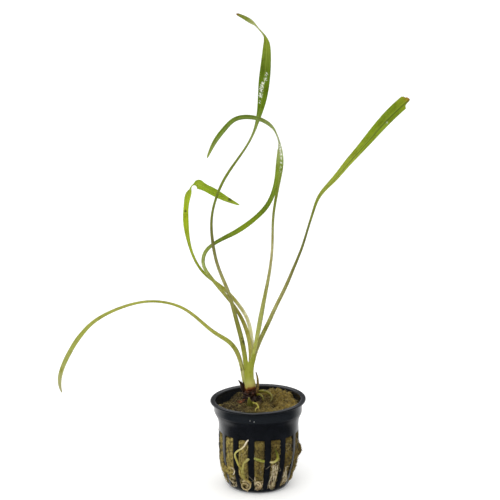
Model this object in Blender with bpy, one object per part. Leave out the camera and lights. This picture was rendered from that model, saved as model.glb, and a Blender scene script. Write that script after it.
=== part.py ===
"""A potted cryptocoryne: a ribbon-leaved water plant rooted in mineral wool in a slotted net pot.

Metres, +Z up. The origin is the centre of the pot's underside, and the front is towards -Y.
Outlines and routes are written in millimetres, as a gardener would measure them.
"""

import math

import bmesh
import bpy
import numpy as np

MM = 0.001

# Pot, in millimetres
POT_HEIGHT = 51.0
RIM_RADIUS = 27.5
RIM_THICKNESS = 1.4
COLLAR_RADIUS = 25.4
FOOT_RADIUS = 16.2
WALL = 1.1
SLOT_TOP = 33.7
SLOT_BOTTOM = 2.6
SLOTS = 15
SLOT_PITCH = 360.0 / SLOTS
SLOT_ANGLE = 15.5
FRONT_SLOT = 1.0
DRAIN_INSIDE = 9.0
DRAIN_OUTSIDE = 14.0

# Everything else, in millimetres
GAP = 0.3
WOOL_TOP = 48.4
CROWN_X = -4.6
CROWN_Y = 4.0
CROWN_TOP = 56.6
CROWN_DEPTH = 43.0
SOCKET_RADIUS = 4.8
LEAF_FOOT = 57.0
BLADE_THICKNESS = 0.7
BLADE_KEEL = 0.2
SAMPLES = 2

# The line of sight that an unturned strip lies square to: from the front, or from above
FROM_FRONT = (0.0, 1.0, 0.0)
FROM_ABOVE = (0.0, 0.0, 1.0)


def clear_scene():
    for thing in list(bpy.data.objects):
        bpy.data.objects.remove(thing, do_unlink=True)


def linear(channel):
    return channel / 12.92 if channel <= 0.04045 else ((channel + 0.055) / 1.055) ** 2.4


def finish(name, colour, roughness):
    """A Principled material from an sRGB hex colour."""
    made = bpy.data.materials.new(name)
    made.use_nodes = True
    shader = made.node_tree.nodes["Principled BSDF"]
    rgb = [linear(int(colour[k : k + 2], 16) / 255) for k in (0, 2, 4)]
    shader.inputs["Base Color"].default_value = (*rgb, 1.0)
    shader.inputs["Roughness"].default_value = roughness
    shader.inputs["Metallic"].default_value = 0.0
    return made


def place(name, bm, material):
    """Puts a bmesh drawn in millimetres into the scene, shaded smooth except at its edges."""
    bmesh.ops.scale(bm, vec=(MM, MM, MM), verts=bm.verts)
    bmesh.ops.recalc_face_normals(bm, faces=bm.faces)
    mesh = bpy.data.meshes.new(name)
    bm.to_mesh(mesh)
    bm.free()
    mesh.materials.append(material)
    mesh.shade_smooth()
    mesh.set_sharp_from_angle(angle=math.radians(40))
    made = bpy.data.objects.new(name, mesh)
    bpy.context.scene.collection.objects.link(made)
    return made


def circle(centre, radius, height, count):
    """Points of a level ring, from the front round to the right."""
    turns = [math.tau * k / count for k in range(count)]
    return [(centre[0] + radius * math.sin(a), centre[1] - radius * math.cos(a), height) for a in turns]


def skin(rings):
    """A closed body over rings of equally many points, with a flat cap on each end."""
    bm = bmesh.new()
    loops = [[bm.verts.new(point) for point in ring] for ring in rings]
    count = len(loops[0])
    for low, high in zip(loops, loops[1:]):
        for k in range(count):
            after = (k + 1) % count
            bm.faces.new((low[k], low[after], high[after], high[k]))
    bm.faces.new(loops[0][::-1])
    bm.faces.new(loops[-1])
    return bm


def smooth_rows(rows, samples):
    """A natural cubic through rows whose first three numbers are a place, with a few samples a span."""
    rows = np.array(rows, float)
    spans = np.linalg.norm(np.diff(rows[:, :3], axis=0), axis=1)
    count = len(rows)
    system = np.eye(count)
    right = np.zeros_like(rows)
    slopes = np.diff(rows, axis=0) / spans[:, None]
    for k in range(1, count - 1):
        system[k, k - 1 : k + 2] = spans[k - 1], 2 * (spans[k - 1] + spans[k]), spans[k]
        right[k] = 6 * (slopes[k] - slopes[k - 1])
    bends = np.linalg.solve(system, right)
    steps = np.arange(0, count - 1 + 0.5 / samples, 1 / samples)
    made = []
    for step in steps:
        k = min(int(step), count - 2)
        b = step - k
        a = 1 - b
        curve = (a**3 - a) * bends[k] + (b**3 - b) * bends[k + 1]
        made.append(a * rows[k] + b * rows[k + 1] + curve * spans[k] ** 2 / 6)
    return np.array(made), steps


def directions(path):
    along = np.gradient(path, axis=0)
    return along / np.linalg.norm(along, axis=1)[:, None]


def ribbon(name, rows, material, facing=FROM_FRONT, blade_from=None, thickness=BLADE_THICKNESS):
    """A strip along rows of (x, y, z, width, turn), round up to the row where its blade begins.

    Its section has six corners: the two edges, and the ridges in the middle of each face. In the
    blade the edges drop behind the midrib by the keel.
    """
    swept, steps = smooth_rows(rows, SAMPLES)
    path = swept[:, :3]
    rings = []
    for centre, along, width, turn, step in zip(path, directions(path), swept[:, 3], swept[:, 4], steps):
        across = np.cross(facing, along)
        across /= np.linalg.norm(across)
        face = np.cross(along, across)
        angle = math.radians(turn)
        across, face = (
            across * math.cos(angle) + face * math.sin(angle),
            face * math.cos(angle) - across * math.sin(angle),
        )
        flat = 1.0 if blade_from is None else min(max((step - blade_from + 1) / 2, 0.0), 1.0)
        half_width = max(width, 0.5) / 2
        half_thick = ((1 - flat) * 0.9 * width + flat * min(thickness, 0.9 * width)) / 2
        keel = -flat * BLADE_KEEL * half_width
        corners = [(1, 0.5, 1), (0, 1, 0), (-1, 0.5, 1), (-1, -0.5, 1), (0, -1, 0), (1, -0.5, 1)]
        rings.append(
            [
                centre + across * u * half_width * (0.87 + 0.13 * flat) + face * (v * half_thick + e * keel)
                for u, v, e in corners
            ]
        )
    return place(name, skin(rings), material)


def root(name, route, radius, material, sides=5):
    """A root that lies on the outside of the pot: its route is (degrees from the front, height)."""
    rows = [(*on_wall(turn, height, radius + GAP + 0.05), 0.0, 0.0) for turn, height in route]
    path = smooth_rows(rows, SAMPLES)[0][:, :3]
    rings = []
    for k, (centre, along) in enumerate(zip(path, directions(path))):
        out = np.array([centre[0], centre[1], 0.0])
        out -= along * np.dot(out, along)
        out /= np.linalg.norm(out)
        side = np.cross(along, out)
        slim = radius * (1.0 if 0 < k < len(path) - 1 else 0.6)
        angles = [math.tau * j / sides for j in range(sides)]
        rings.append([centre + slim * (out * math.cos(a) + side * math.sin(a)) for a in angles])
    return place(name, skin(rings), material)


# Radius and height up the outside of the pot, from the edge of the base plate to the flange
POT_OUTSIDE = [
    (DRAIN_INSIDE, 0.0),
    (DRAIN_OUTSIDE, 0.0),
    (FOOT_RADIUS, 0.0),
    (17.6, 1.2),
    (18.3, SLOT_BOTTOM),
    (19.5, 6.0),
    (20.8, 10.0),
    (21.8, 14.5),
    (22.7, 20.0),
    (23.1, 27.0),
    (23.1, SLOT_TOP),
    (23.4, 40.0),
    (25.2, 44.6),
    (COLLAR_RADIUS, POT_HEIGHT - RIM_THICKNESS),
]
FLANGE = [
    (RIM_RADIUS - 0.2, POT_HEIGHT - RIM_THICKNESS),
    (RIM_RADIUS, POT_HEIGHT - RIM_THICKNESS / 2),
    (RIM_RADIUS - 0.2, POT_HEIGHT),
    (COLLAR_RADIUS - WALL + 0.3, POT_HEIGHT),
]


def wall_inside():
    """The outside outline moved in by the wall's thickness, square to the wall."""
    outline = np.array([(0.0, 0.0)] + POT_OUTSIDE)
    runs = directions(outline)[1:]
    return [(r - WALL * run[1], z + WALL * run[0]) for (r, z), run in zip(POT_OUTSIDE, runs)]


POT_INSIDE = wall_inside()


def outside_radius(height):
    return float(np.interp(height, [z for _, z in POT_OUTSIDE], [r for r, _ in POT_OUTSIDE]))


def inside_radius(height):
    return float(np.interp(height, [z for _, z in POT_INSIDE[2:]], [r for r, _ in POT_INSIDE[2:]]))


def on_wall(turn, height, lift):
    """A place on the outside of the pot, at degrees from the front towards the right."""
    radius = outside_radius(height) + lift
    angle = math.radians(turn)
    return radius * math.sin(angle), -radius * math.cos(angle), height


def net_pot():
    """Moulded in one piece: a flanged rim, a plain collar, slots down to a foot ring, slots in the base."""
    chain = POT_OUTSIDE + FLANGE + POT_INSIDE[::-1]
    heights = [z for _, z in POT_OUTSIDE]
    radii = [r for r, _ in POT_OUTSIDE]
    open_runs = [
        (radii.index(DRAIN_INSIDE), radii.index(DRAIN_OUTSIDE)),
        (heights.index(SLOT_BOTTOM), heights.index(SLOT_TOP)),
    ]
    columns = []
    for pitch in range(SLOTS):
        middle = FRONT_SLOT + pitch * SLOT_PITCH
        columns += [middle + SLOT_ANGLE * (k / 3 - 0.5) for k in range(4)]
    bm = bmesh.new()
    grid = []
    for radius, height in chain:
        ring = []
        for turn in columns:
            angle = math.radians(turn)
            ring.append(bm.verts.new((radius * math.sin(angle), -radius * math.cos(angle), height)))
        grid.append(ring)
    count = len(columns)
    last = len(chain) - 1

    def is_open(low):
        mirrored = last - low - 1
        return any(start <= band < end for start, end in open_runs for band in (low, mirrored))

    for low in range(last):
        for k in range(count):
            if k % 4 != 3 and is_open(low):
                continue
            after = (k + 1) % count
            bm.faces.new((grid[low][k], grid[low][after], grid[low + 1][after], grid[low + 1][k]))
    for start, end in open_runs:
        for k in range(count):
            if k % 4 in (0, 3):
                for low in range(start, end):
                    bm.faces.new((grid[low][k], grid[low + 1][k], grid[last - low - 1][k], grid[last - low][k]))
            if k % 4 != 3:
                for edge in (start, end):
                    bm.faces.new((grid[edge][k], grid[edge][k + 1], grid[last - edge][k + 1], grid[last - edge][k]))
    bm.faces.new(grid[0])
    bm.faces.new(grid[-1])
    return place("net_pot", bm, finish("black_plastic", "15171b", 0.4))


def bump(x, y, centre_x, centre_y, spread):
    return math.exp(-((x - centre_x) ** 2 + (y - centre_y) ** 2) / (2 * spread**2))


def wool_height(x, y):
    """The wool's top: a mound at the back right, a hollow at the left, a little low at the back."""
    height = WOOL_TOP
    height += 2.8 * bump(x, y, 12.0, 13.0, 8.0)
    height -= 3.0 * bump(x, y, -19.0, 8.0, 9.0)
    height -= 1.0 * bump(x, y, 0.0, 22.0, 4.0)
    return height


def rockwool_plug():
    """The mineral wool that fills the pot, with a hole pressed in its top for the plant's crown."""
    sides = 30
    edge = inside_radius(WOOL_TOP) - GAP
    rings = [circle((CROWN_X, CROWN_Y), SOCKET_RADIUS - GAP, CROWN_DEPTH - GAP, sides)]
    for blend in (0.0, 0.35, 0.7, 1.0):
        centre = (CROWN_X * (1 - blend), CROWN_Y * (1 - blend))
        ring = circle(centre, SOCKET_RADIUS + (edge - SOCKET_RADIUS) * blend, 0.0, sides)
        rings.append([(x, y, wool_height(x, y)) for x, y, _ in ring])
    for height in (42.5, 40.0, SLOT_TOP, 27.0, 20.0, 14.5, 10.0, 6.0, 4.0):
        rings.append(circle((0.0, 0.0), inside_radius(height) - GAP, height, sides))
    rings.append(circle((0.0, 0.0), 15.6, WALL + GAP, sides))
    return place("rockwool_plug", skin(rings), finish("mineral_wool", "6b5f38", 0.95))


def crown():
    """The short upright rootstock that all the leaves grow from, knobbly with old leaf scars."""
    outline = [(3.2, CROWN_DEPTH), (4.0, 46.0), (4.3, 49.0), (4.2, 51.5), (3.7, 54.0), (3.3, CROWN_TOP)]
    rings = []
    for radius, height in outline:
        ring = []
        for x, y, z in circle((0.0, 0.0), radius, height, 12):
            knob = 1 + 0.06 * math.sin(3 * math.atan2(y, x) + height)
            ring.append((CROWN_X + x * knob, CROWN_Y + y * knob, z))
        rings.append(ring)
    return place("crown", skin(rings), finish("rootstock_bark", "3c2417", 0.8))


# The long leaves, as rows of (x, y, z, width, turn). Turn is how far the strip is rolled about
# its own length away from facing the front, in degrees. The first number is the row where the
# round stalk begins to flatten into the blade.
LONG_LEAVES = {
    "leaf_drooping": (
        9,
        "9aa04a",
        [
            (-6.9, 3.8, LEAF_FOOT, 1.8, 0),
            (-9.0, 3.5, 67.5, 1.9, 0),
            (-12.0, 3.0, 77.0, 2.2, 0),
            (-16.0, 1.5, 84.0, 2.3, 0),
            (-24.0, -1.0, 90.5, 2.3, 0),
            (-32.5, -4.0, 98.5, 2.0, 0),
            (-43.0, -8.0, 107.5, 1.7, 0),
            (-53.5, -11.0, 111.5, 1.5, 0),
            (-63.0, -14.0, 112.5, 1.5, 0),
            (-78.0, -18.0, 109.5, 1.7, 10),
            (-92.5, -22.0, 102.0, 2.2, 25),
            (-102.0, -26.0, 91.0, 3.0, 35),
            (-108.0, -29.0, 79.5, 3.2, 40),
            (-110.0, -31.0, 70.5, 2.8, 40),
            (-109.0, -32.0, 65.0, 1.0, 40),
        ],
    ),
    "leaf_tall": (
        11,
        "6b7f1e",
        [
            (-5.7, 2.1, LEAF_FOOT, 1.8, 0),
            (-7.0, 1.0, 73.5, 2.2, 0),
            (-9.0, -0.5, 86.0, 2.5, 0),
            (-12.5, -2.5, 99.5, 2.5, 0),
            (-17.0, -4.0, 116.0, 2.2, 0),
            (-22.5, -5.0, 130.5, 1.9, 0),
            (-25.5, -5.5, 145.0, 1.8, 0),
            (-26.0, -4.0, 158.0, 1.5, 0),
            (-23.5, -1.0, 169.0, 1.5, 0),
            (-19.0, 2.0, 179.0, 1.6, 0),
            (-9.0, 5.0, 193.5, 1.3, 0),
            (-3.0, 8.0, 203.5, 1.4, 0),
            (0.0, 10.0, 212.5, 2.6, 10),
            (2.0, 11.0, 222.0, 4.9, 5),
            (3.5, 12.0, 234.5, 6.2, 0),
            (4.5, 11.0, 246.5, 5.2, 0),
            (4.5, 10.0, 253.5, 3.9, 10),
            (2.5, 9.0, 259.5, 3.0, 70),
            (-2.0, 7.0, 265.0, 2.4, 60),
            (-7.0, 5.0, 268.0, 2.6, 25),
            (-12.0, 2.0, 271.0, 1.9, 10),
        ],
    ),
    "leaf_arched": (
        9,
        "6f8424",
        [
            (-6.0, 5.7, LEAF_FOOT, 1.8, 0),
            (-6.2, 5.2, 71.0, 1.8, 0),
            (-6.0, 4.8, 83.5, 1.9, 0),
            (-8.0, 4.2, 94.0, 2.0, 0),
            (-13.0, 3.0, 104.5, 2.0, 0),
            (-20.0, 2.0, 114.0, 2.1, 0),
            (-27.0, 1.5, 123.0, 2.1, 0),
            (-31.0, 1.0, 131.0, 2.1, 0),
            (-30.0, 1.0, 137.0, 2.2, 0),
            (-25.0, 0.0, 142.5, 2.1, 0),
            (-12.5, -2.5, 150.0, 3.0, 10),
            (-4.5, -4.5, 156.0, 2.9, 10),
            (3.5, -6.5, 164.0, 2.8, 10),
            (8.0, -8.0, 172.5, 2.6, 10),
            (10.0, -9.0, 182.5, 2.2, 15),
            (10.5, -10.0, 191.5, 1.6, 20),
            (11.0, -10.0, 198.5, 0.8, 20),
        ],
    ),
    "leaf_folded": (
        7,
        "93a52a",
        [
            (-3.9, 5.9, LEAF_FOOT, 1.8, 0),
            (-3.8, 6.6, 72.5, 1.8, 0),
            (-4.0, 7.2, 85.5, 2.0, 0),
            (-6.5, 7.6, 96.5, 2.1, 0),
            (-12.5, 7.6, 106.5, 2.1, 0),
            (-20.5, 7.5, 115.5, 1.9, 0),
            (-30.0, 7.5, 123.0, 1.7, 0),
            (-36.0, 8.5, 131.5, 1.5, 0),
            (-39.5, 10.0, 142.0, 2.0, 0),
            (-41.0, 11.0, 153.5, 3.2, 0),
            (-40.5, 12.0, 164.0, 3.6, 0),
            (-38.5, 12.0, 170.5, 3.6, 45),
            (-36.0, 11.0, 174.5, 3.8, 75),
            (-32.0, 10.0, 174.0, 4.8, 10),
            (-26.0, 9.0, 171.0, 4.4, 0),
            (-18.5, 8.0, 167.0, 3.3, 0),
            (-10.5, 6.0, 163.5, 0.8, 0),
        ],
    ),
    "leaf_looped": (
        8,
        "7d8d3a",
        [
            (-3.6, 2.3, LEAF_FOOT, 1.8, 0),
            (-3.0, 2.0, 70.0, 2.0, 0),
            (-1.5, 1.5, 83.0, 2.3, 0),
            (1.0, 0.5, 95.0, 2.4, 0),
            (3.5, 0.0, 109.5, 2.2, 0),
            (6.5, -0.5, 127.0, 1.8, 0),
            (8.0, -1.0, 143.0, 1.5, 0),
            (8.5, -1.0, 159.0, 1.5, 0),
            (10.0, 0.0, 169.5, 1.7, 0),
            (11.5, 1.0, 179.5, 2.6, 0),
            (12.5, 1.0, 189.0, 3.2, 0),
            (12.0, 1.0, 196.0, 2.8, 20),
            (11.0, 0.0, 202.5, 2.4, 70),
            (7.0, -1.0, 209.5, 2.2, 40),
            (3.0, -2.0, 212.5, 2.3, 25),
            (-7.0, -4.0, 215.0, 2.5, 15),
            (-13.0, -6.5, 214.0, 2.5, 10),
            (-18.0, -10.0, 210.0, 2.6, 10),
            (-24.0, -14.0, 202.5, 2.4, 10),
            (-28.0, -18.0, 194.5, 0.9, 10),
        ],
    ),
    "leaf_torn": (
        9,
        "7f9330",
        [
            (-2.7, 4.2, LEAF_FOOT, 1.8, 0),
            (-1.5, 4.5, 73.0, 2.2, 0),
            (0.5, 5.0, 83.5, 2.4, 0),
            (6.0, 6.5, 95.0, 2.5, 0),
            (10.0, 8.0, 103.5, 2.3, 0),
            (15.5, 10.0, 114.5, 2.2, 0),
            (20.5, 12.0, 126.0, 1.8, 0),
            (25.0, 14.0, 137.0, 1.5, 0),
            (28.5, 16.0, 148.0, 1.4, 0),
            (31.5, 18.0, 157.5, 1.5, 0),
            (35.0, 20.0, 166.0, 2.0, 0),
            (42.5, 22.0, 174.5, 3.0, 0),
            (51.5, 25.0, 184.5, 4.4, 0),
            (60.5, 28.0, 194.0, 5.6, 0),
            (68.5, 31.0, 202.5, 6.5, 0),
            (76.5, 34.0, 210.5, 7.0, 0),
            (86.5, 37.5, 220.0, 7.0, 0),
        ],
    ),
}

# What else grows at the crown, in the same rows: colour, way it faces, thickness, route
SMALL_GROWTH = {
    "young_leaf": (
        "4a5a20",
        FROM_FRONT,
        0.6,
        [(-4.8, -7.4, 49.0, 1.4, 0), (-5.4, -7.2, 51.5, 2.2, 0), (-5.2, -7.0, 54.0, 0.9, 0)],
    ),
    "curled_shoot": (
        "a8b04a",
        FROM_ABOVE,
        0.9,
        [
            (-2.4, -8.0, 50.6, 1.2, 0),
            (-0.4, -8.6, 50.9, 1.2, 0),
            (0.3, -11.0, 50.2, 1.2, 0),
            (-0.6, -14.0, 49.6, 1.2, 0),
            (-2.2, -17.0, 49.4, 0.8, 0),
        ],
    ),
    "arched_runner": (
        "6e6a22",
        FROM_FRONT,
        1.2,
        [
            (1.0, 4.2, 53.8, 1.3, 0),
            (2.8, 3.6, 55.3, 1.4, 0),
            (4.9, 2.8, 55.0, 1.4, 0),
            (7.4, 1.6, 53.2, 1.4, 0),
            (8.2, 0.0, 51.6, 1.3, 0),
            (7.6, -2.0, 50.4, 1.0, 0),
        ],
    ),
    "short_runner": (
        "5c5420",
        FROM_FRONT,
        1.0,
        [(0.3, 0.2, 53.0, 1.2, 0), (1.7, -0.6, 51.8, 1.2, 0), (2.6, -1.6, 50.0, 1.0, 0)],
    ),
    "dry_sheath": (
        "6b5230",
        FROM_FRONT,
        0.5,
        [
            (0.9, 1.2, 52.6, 1.4, 0),
            (1.0, 1.4, 57.0, 1.2, 0),
            (0.5, 1.9, 61.5, 0.9, 0),
            (-0.9, 2.6, 65.5, 0.5, 0),
        ],
    ),
    "withered_leaf_base": (
        "2e221b",
        FROM_FRONT,
        0.7,
        [(-9.6, 2.5, 52.5, 1.8, 0), (-10.0, 2.5, 56.5, 1.6, 0), (-10.9, 2.3, 61.0, 0.7, 0)],
    ),
    "rusty_leaf_scrap": (
        "8a4a2a",
        FROM_ABOVE,
        0.6,
        [(-11.0, -3.0, 49.5, 1.2, 0), (-8.8, -4.0, 50.0, 1.8, 0), (-6.8, -5.0, 49.7, 1.0, 0)],
    ),
}

# Roots and shoots that have grown out through the slots: colour, radius, route on the pot's
# outside as (degrees from the front towards the right, height)
WALL_GROWTH = {
    "cream_root": (
        "d8d2a8",
        0.65,
        [(-16, 33.0), (-20, 30.3), (-25, 28.4), (-31, 26.6), (-34, 24.4), (-31, 21.8), (-27, 18.5), (-24, 15.5)],
    ),
    "thin_root": ("c9c193", 0.45, [(-16, 29.0), (-19, 26.8), (-22, 24.0), (-22, 21.0)]),
    "pale_root": ("d5d0aa", 0.8, [(-15, 23.0), (-18, 20.6), (-20, 17.0)]),
    "low_root": ("c4b27a", 0.6, [(-28, 12.0), (-23, 10.6), (-17, 9.6)]),
    "runner_stub": ("96a33a", 0.65, [(-6, 23.6), (0, 22.8), (8, 21.8)]),
    "side_shoot": (
        "8f9c3c",
        0.6,
        [(23, 29.0), (25, 26.5), (27.5, 23.6), (26.5, 21.4), (22, 20.4), (17, 20.4)],
    ),
    "hanging_root_left": ("c8b888", 0.7, [(19, 18.6), (19, 12.0), (22, 4.5)]),
    "hanging_root_middle": ("cdbf90", 0.6, [(24, 18.4), (25, 11.5), (30, 4.0)]),
    "hanging_root_right": ("bfae7c", 0.55, [(29, 17.6), (31, 11.0), (33.5, 5.0)]),
    "right_root": ("c9bb8c", 0.6, [(45, 15.5), (47, 9.6), (51, 4.0)]),
    "front_root": ("b9a468", 0.6, [(-4, 9.8), (1, 6.0), (7, 4.0)]),
}

COIL_TURN = -20.0
COIL_HEIGHT = 6.2
COIL_RADIUS = 2.5
COIL_ARC = 300


def coiled_root():
    """A root tip that has grown into a ring just above the pot's foot."""
    route = []
    for step in range(9):
        angle = math.radians(-60 + step * COIL_ARC / 8)
        aside = math.degrees(COIL_RADIUS * math.cos(angle) / outside_radius(COIL_HEIGHT))
        route.append((COIL_TURN + aside, COIL_HEIGHT + COIL_RADIUS * math.sin(angle)))
    return root("coiled_root", route, 0.5, finish("coiled_root", "c2ac72", 0.6))


clear_scene()
net_pot()
rockwool_plug()
crown()
for leaf, (blade_start, tint, leaf_rows) in LONG_LEAVES.items():
    ribbon(leaf, leaf_rows, finish(leaf, tint, 0.4), blade_from=blade_start)
for piece, (tint, way, thick, piece_rows) in SMALL_GROWTH.items():
    ribbon(piece, piece_rows, finish(piece, tint, 0.6), facing=way, thickness=thick)
for piece, (tint, thick, wall_route) in WALL_GROWTH.items():
    root(piece, wall_route, thick, finish(piece, tint, 0.6))
coiled_root()
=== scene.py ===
"""A potted cryptocoryne: a ribbon-leaved water plant rooted in mineral wool in a slotted black pot.

It is built in the order it is put together: the pot, the wool that fills it, the rootstock pushed
into the wool, the leaves and the small growth on it, the roots that have come out through the
slots, and last the table with its light and camera. Metres, +Z up, the front towards -Y. Outlines
and routes are written in millimetres, turns in degrees from the front towards the right.
"""

import math

import bmesh
import bpy
import numpy as np
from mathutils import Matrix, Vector, noise


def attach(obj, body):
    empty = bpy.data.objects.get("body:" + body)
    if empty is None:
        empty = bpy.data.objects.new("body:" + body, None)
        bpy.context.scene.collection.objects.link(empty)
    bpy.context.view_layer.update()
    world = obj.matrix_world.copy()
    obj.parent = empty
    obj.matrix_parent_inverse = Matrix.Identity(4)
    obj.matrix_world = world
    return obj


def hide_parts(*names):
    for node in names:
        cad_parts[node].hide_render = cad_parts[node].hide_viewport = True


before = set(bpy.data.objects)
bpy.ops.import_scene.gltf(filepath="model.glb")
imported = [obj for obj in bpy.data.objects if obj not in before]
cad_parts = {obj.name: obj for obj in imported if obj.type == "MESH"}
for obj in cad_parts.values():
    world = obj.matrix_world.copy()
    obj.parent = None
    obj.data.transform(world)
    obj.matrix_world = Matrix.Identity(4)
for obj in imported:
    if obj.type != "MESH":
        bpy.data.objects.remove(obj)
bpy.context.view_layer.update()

# The pot: a small net pot, injection moulded in one piece from black polypropylene. A flange
# stands out round its rim, a plain collar runs below it, and the wall is slotted down to the foot
# so that water gets in and roots get out.

MM = 0.001
SLOTS = 15
SLOT_PITCH = 360 / SLOTS
SLOT_ANGLE = 15.5
FRONT_SLOT = 1.0
SLOT_TOP = 33.7
SLOT_BOTTOM = 2.6
WALL = 1.1
DRAIN_INSIDE = 9.0
DRAIN_OUTSIDE = 14.0
SLOT_CORNER = 0.8
MOULDED_EDGE = 0.22
ROUNDED_FROM = 38
SHARP_FROM = 42
SEAM = 0.01

# Radius and height up the outside: the foot, the slotted wall, the tapered step and the collar
FOOT = [(4.5, 0.0), (DRAIN_INSIDE, 0.0), (DRAIN_OUTSIDE, 0.0), (15.9, 0.0), (16.5, 0.25), (17.6, 1.2)]
SLOTTED_WALL = [(18.3, 2.6), (19.5, 6), (20.8, 10), (21.8, 14.5), (22.7, 20), (23.1, 27), (23.1, 33.7)]
COLLAR = [
    (22.95, 36.5), (23.1, 38.2), (23.3, 39.5), (23.6, 40.6), (24.05, 41.8), (24.6, 42.9), (24.95, 43.7),
    (25.05, 44.2), (25.3, 44.48), (25.4, 46.4), (25.4, 49.5),
]
FLANGE = [
    (25.6, 49.6), (26.9, 49.6), (27.35, 49.8), (27.5, 50.25), (27.35, 50.75), (26.95, 51), (26, 50.95),
    (25.1, 50.85), (24.6, 50.6),
]
WALL_STEPS = 14

# The pot is a little out of true: height and how far the wall's middle has crept to the right, then
# how much the rim stands up on average, at its right side and at its back
CREEP = [(0, 0), (14, 0.2), (28, 0.35), (33, 0.4), (36, 0.4), (39, 0.3), (43, 0.1), (46, 0)]
RIM_RISE = (0.75, 0.65, 0.25)
RIM_RADIUS = 27.5
TRUE_UP_TO = 44.0
POT_HEIGHT = 51.0


def paint(colour):
    """An sRGB hex colour as linear red, green, blue and alpha."""
    parts = [int(colour[k : k + 2], 16) / 255 for k in (0, 2, 4)]
    return (*[c / 12.92 if c <= 0.04045 else ((c + 0.055) / 1.055) ** 2.4 for c in parts], 1.0)


def feed(node, inputs):
    """Sets or links a node's inputs, by name or number. A node stands for its first output in use."""
    for key, value in inputs.items():
        named = [socket for socket in node.inputs if socket.enabled and socket.name == key]
        socket = named[0] if named else node.inputs[key]
        if isinstance(value, bpy.types.Node):
            value = next(output for output in value.outputs if output.enabled)
        if isinstance(value, bpy.types.NodeSocket):
            node.id_data.links.new(value, socket)
        else:
            socket.default_value = paint(value) if socket.type == "RGBA" else value


def add(tree, kind, inputs=None, stops=None, **settings):
    """Adds a node with its settings and feeds it. Stops are a ramp's colours by their place."""
    made = tree.nodes.new(kind)
    for name, value in settings.items():
        setattr(made, name, value)
    feed(made, inputs or {})
    if stops:
        ramp = made.color_ramp.elements
        places = list(stops)
        ramp[0].position, ramp[-1].position = places[0], places[-1]
        for place in places[1:-1]:
            ramp.new(place)
        for element, colour in zip(ramp, stops.values()):
            element.color = paint(colour) if isinstance(colour, str) else colour
    return made


def surface(name, **constants):
    """A Principled material, with what is the same all over it set on the shader itself.

    Gives the material, its tree, its shader and the place on the object that patterns follow.
    """
    made = bpy.data.materials.new(name)
    made.use_nodes = True
    shader = made.node_tree.nodes["Principled BSDF"]
    feed(shader, {socket.replace("_", " "): value for socket, value in constants.items()})
    place = add(made.node_tree, "ShaderNodeTexCoord").outputs["Object"]
    return made, made.node_tree, shader, place


def geometry_tree(name, made, **needed):
    """An empty geometry tree that makes one geometry from named inputs, each given with its kind."""
    tree = bpy.data.node_groups.new(name, "GeometryNodeTree")
    for label, kind in needed.items():
        tree.interface.new_socket(label, in_out="INPUT", socket_type="NodeSocket" + kind)
    tree.interface.new_socket(made, in_out="OUTPUT", socket_type="NodeSocketGeometry")
    return tree, add(tree, "NodeGroupInput").outputs


def smooth_mesh(bm, name):
    """A finished bmesh as a smooth mesh with its normals turned out."""
    bmesh.ops.recalc_face_normals(bm, faces=bm.faces)
    mesh = bpy.data.meshes.new(name)
    bm.to_mesh(mesh)
    bm.free()
    mesh.shade_smooth()
    return mesh


def as_object(name, mesh):
    made = bpy.data.objects.new(name, mesh)
    bpy.context.scene.collection.objects.link(made)
    return made


def grown(name, source, tree, **inputs):
    """Runs a geometry tree and whatever modifiers follow it on an object, and keeps the plain mesh."""
    modifier = source.modifiers.new("tree", "NODES")
    modifier.node_group = tree
    for label, value in inputs.items():
        modifier[tree.interface.items_tree[label].identifier] = value
    source.modifiers.move(len(source.modifiers) - 1, 0)
    depsgraph = bpy.context.evaluated_depsgraph_get()
    mesh = bpy.data.meshes.new_from_object(source.evaluated_get(depsgraph), depsgraph=depsgraph)
    bpy.data.objects.remove(source)
    mesh.name = name
    return as_object(name, mesh)


def belongs(piece, slot, *nodes):
    """The piece rides on the one body and stands for its CAD nodes; its slot is not used."""
    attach(piece, "root")
    if nodes:
        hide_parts(*nodes)
    return piece


def pot_outside():
    """The outside outline, its slotted wall drawn out into a smooth curve."""
    heights = np.linspace(SLOT_BOTTOM, SLOT_TOP, WALL_STEPS)
    keys = np.array(SLOTTED_WALL)
    bend = np.polyfit(keys[:, 1], keys[:, 0], 4)
    return FOOT + [(float(np.polyval(bend, z)), float(z)) for z in heights] + COLLAR


POT_OUTSIDE = pot_outside()


def pot_inside():
    """The outside outline moved in by the wall's thickness, and evened out where that bunches it."""
    outline = np.array([(0.0, 0.0)] + POT_OUTSIDE)
    along = np.gradient(outline, axis=0)[1:]
    along /= np.linalg.norm(along, axis=1)[:, None]
    inside = [(r - WALL * run[1], z + WALL * run[0]) for (r, z), run in zip(POT_OUTSIDE, along)]
    for bunched in (POT_OUTSIDE.index(FOOT[3]), POT_OUTSIDE.index(COLLAR[8])):
        below, above = inside[bunched - 1], inside[bunched + 1]
        inside[bunched] = ((below[0] + above[0]) / 2, (below[1] + above[1]) / 2)
    return inside


POT_INSIDE = pot_inside()


def clamp(value):
    return min(max(value, 0.0), 1.0)


def eased(share):
    """A share that starts and stops softly."""
    return share * share * (3 - 2 * share)


def around(radius, turn):
    """The x and y of a place on a circle, by its degrees from the front."""
    angle = math.radians(turn)
    return radius * math.sin(angle), -radius * math.cos(angle)


def lean(height):
    """How far the middle of the wall has crept to the right at a height."""
    return float(np.interp(height, [z for z, _ in CREEP], [x for _, x in CREEP]))


def askew(x, y, height):
    """How much too high the wall stands: not at all below its collar, and most at the rim."""
    share = clamp((height - TRUE_UP_TO) / (POT_HEIGHT - TRUE_UP_TO))
    whole, right, back = RIM_RISE
    return eased(share) * (whole + right * x / RIM_RADIUS + back * y / RIM_RADIUS)


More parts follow.
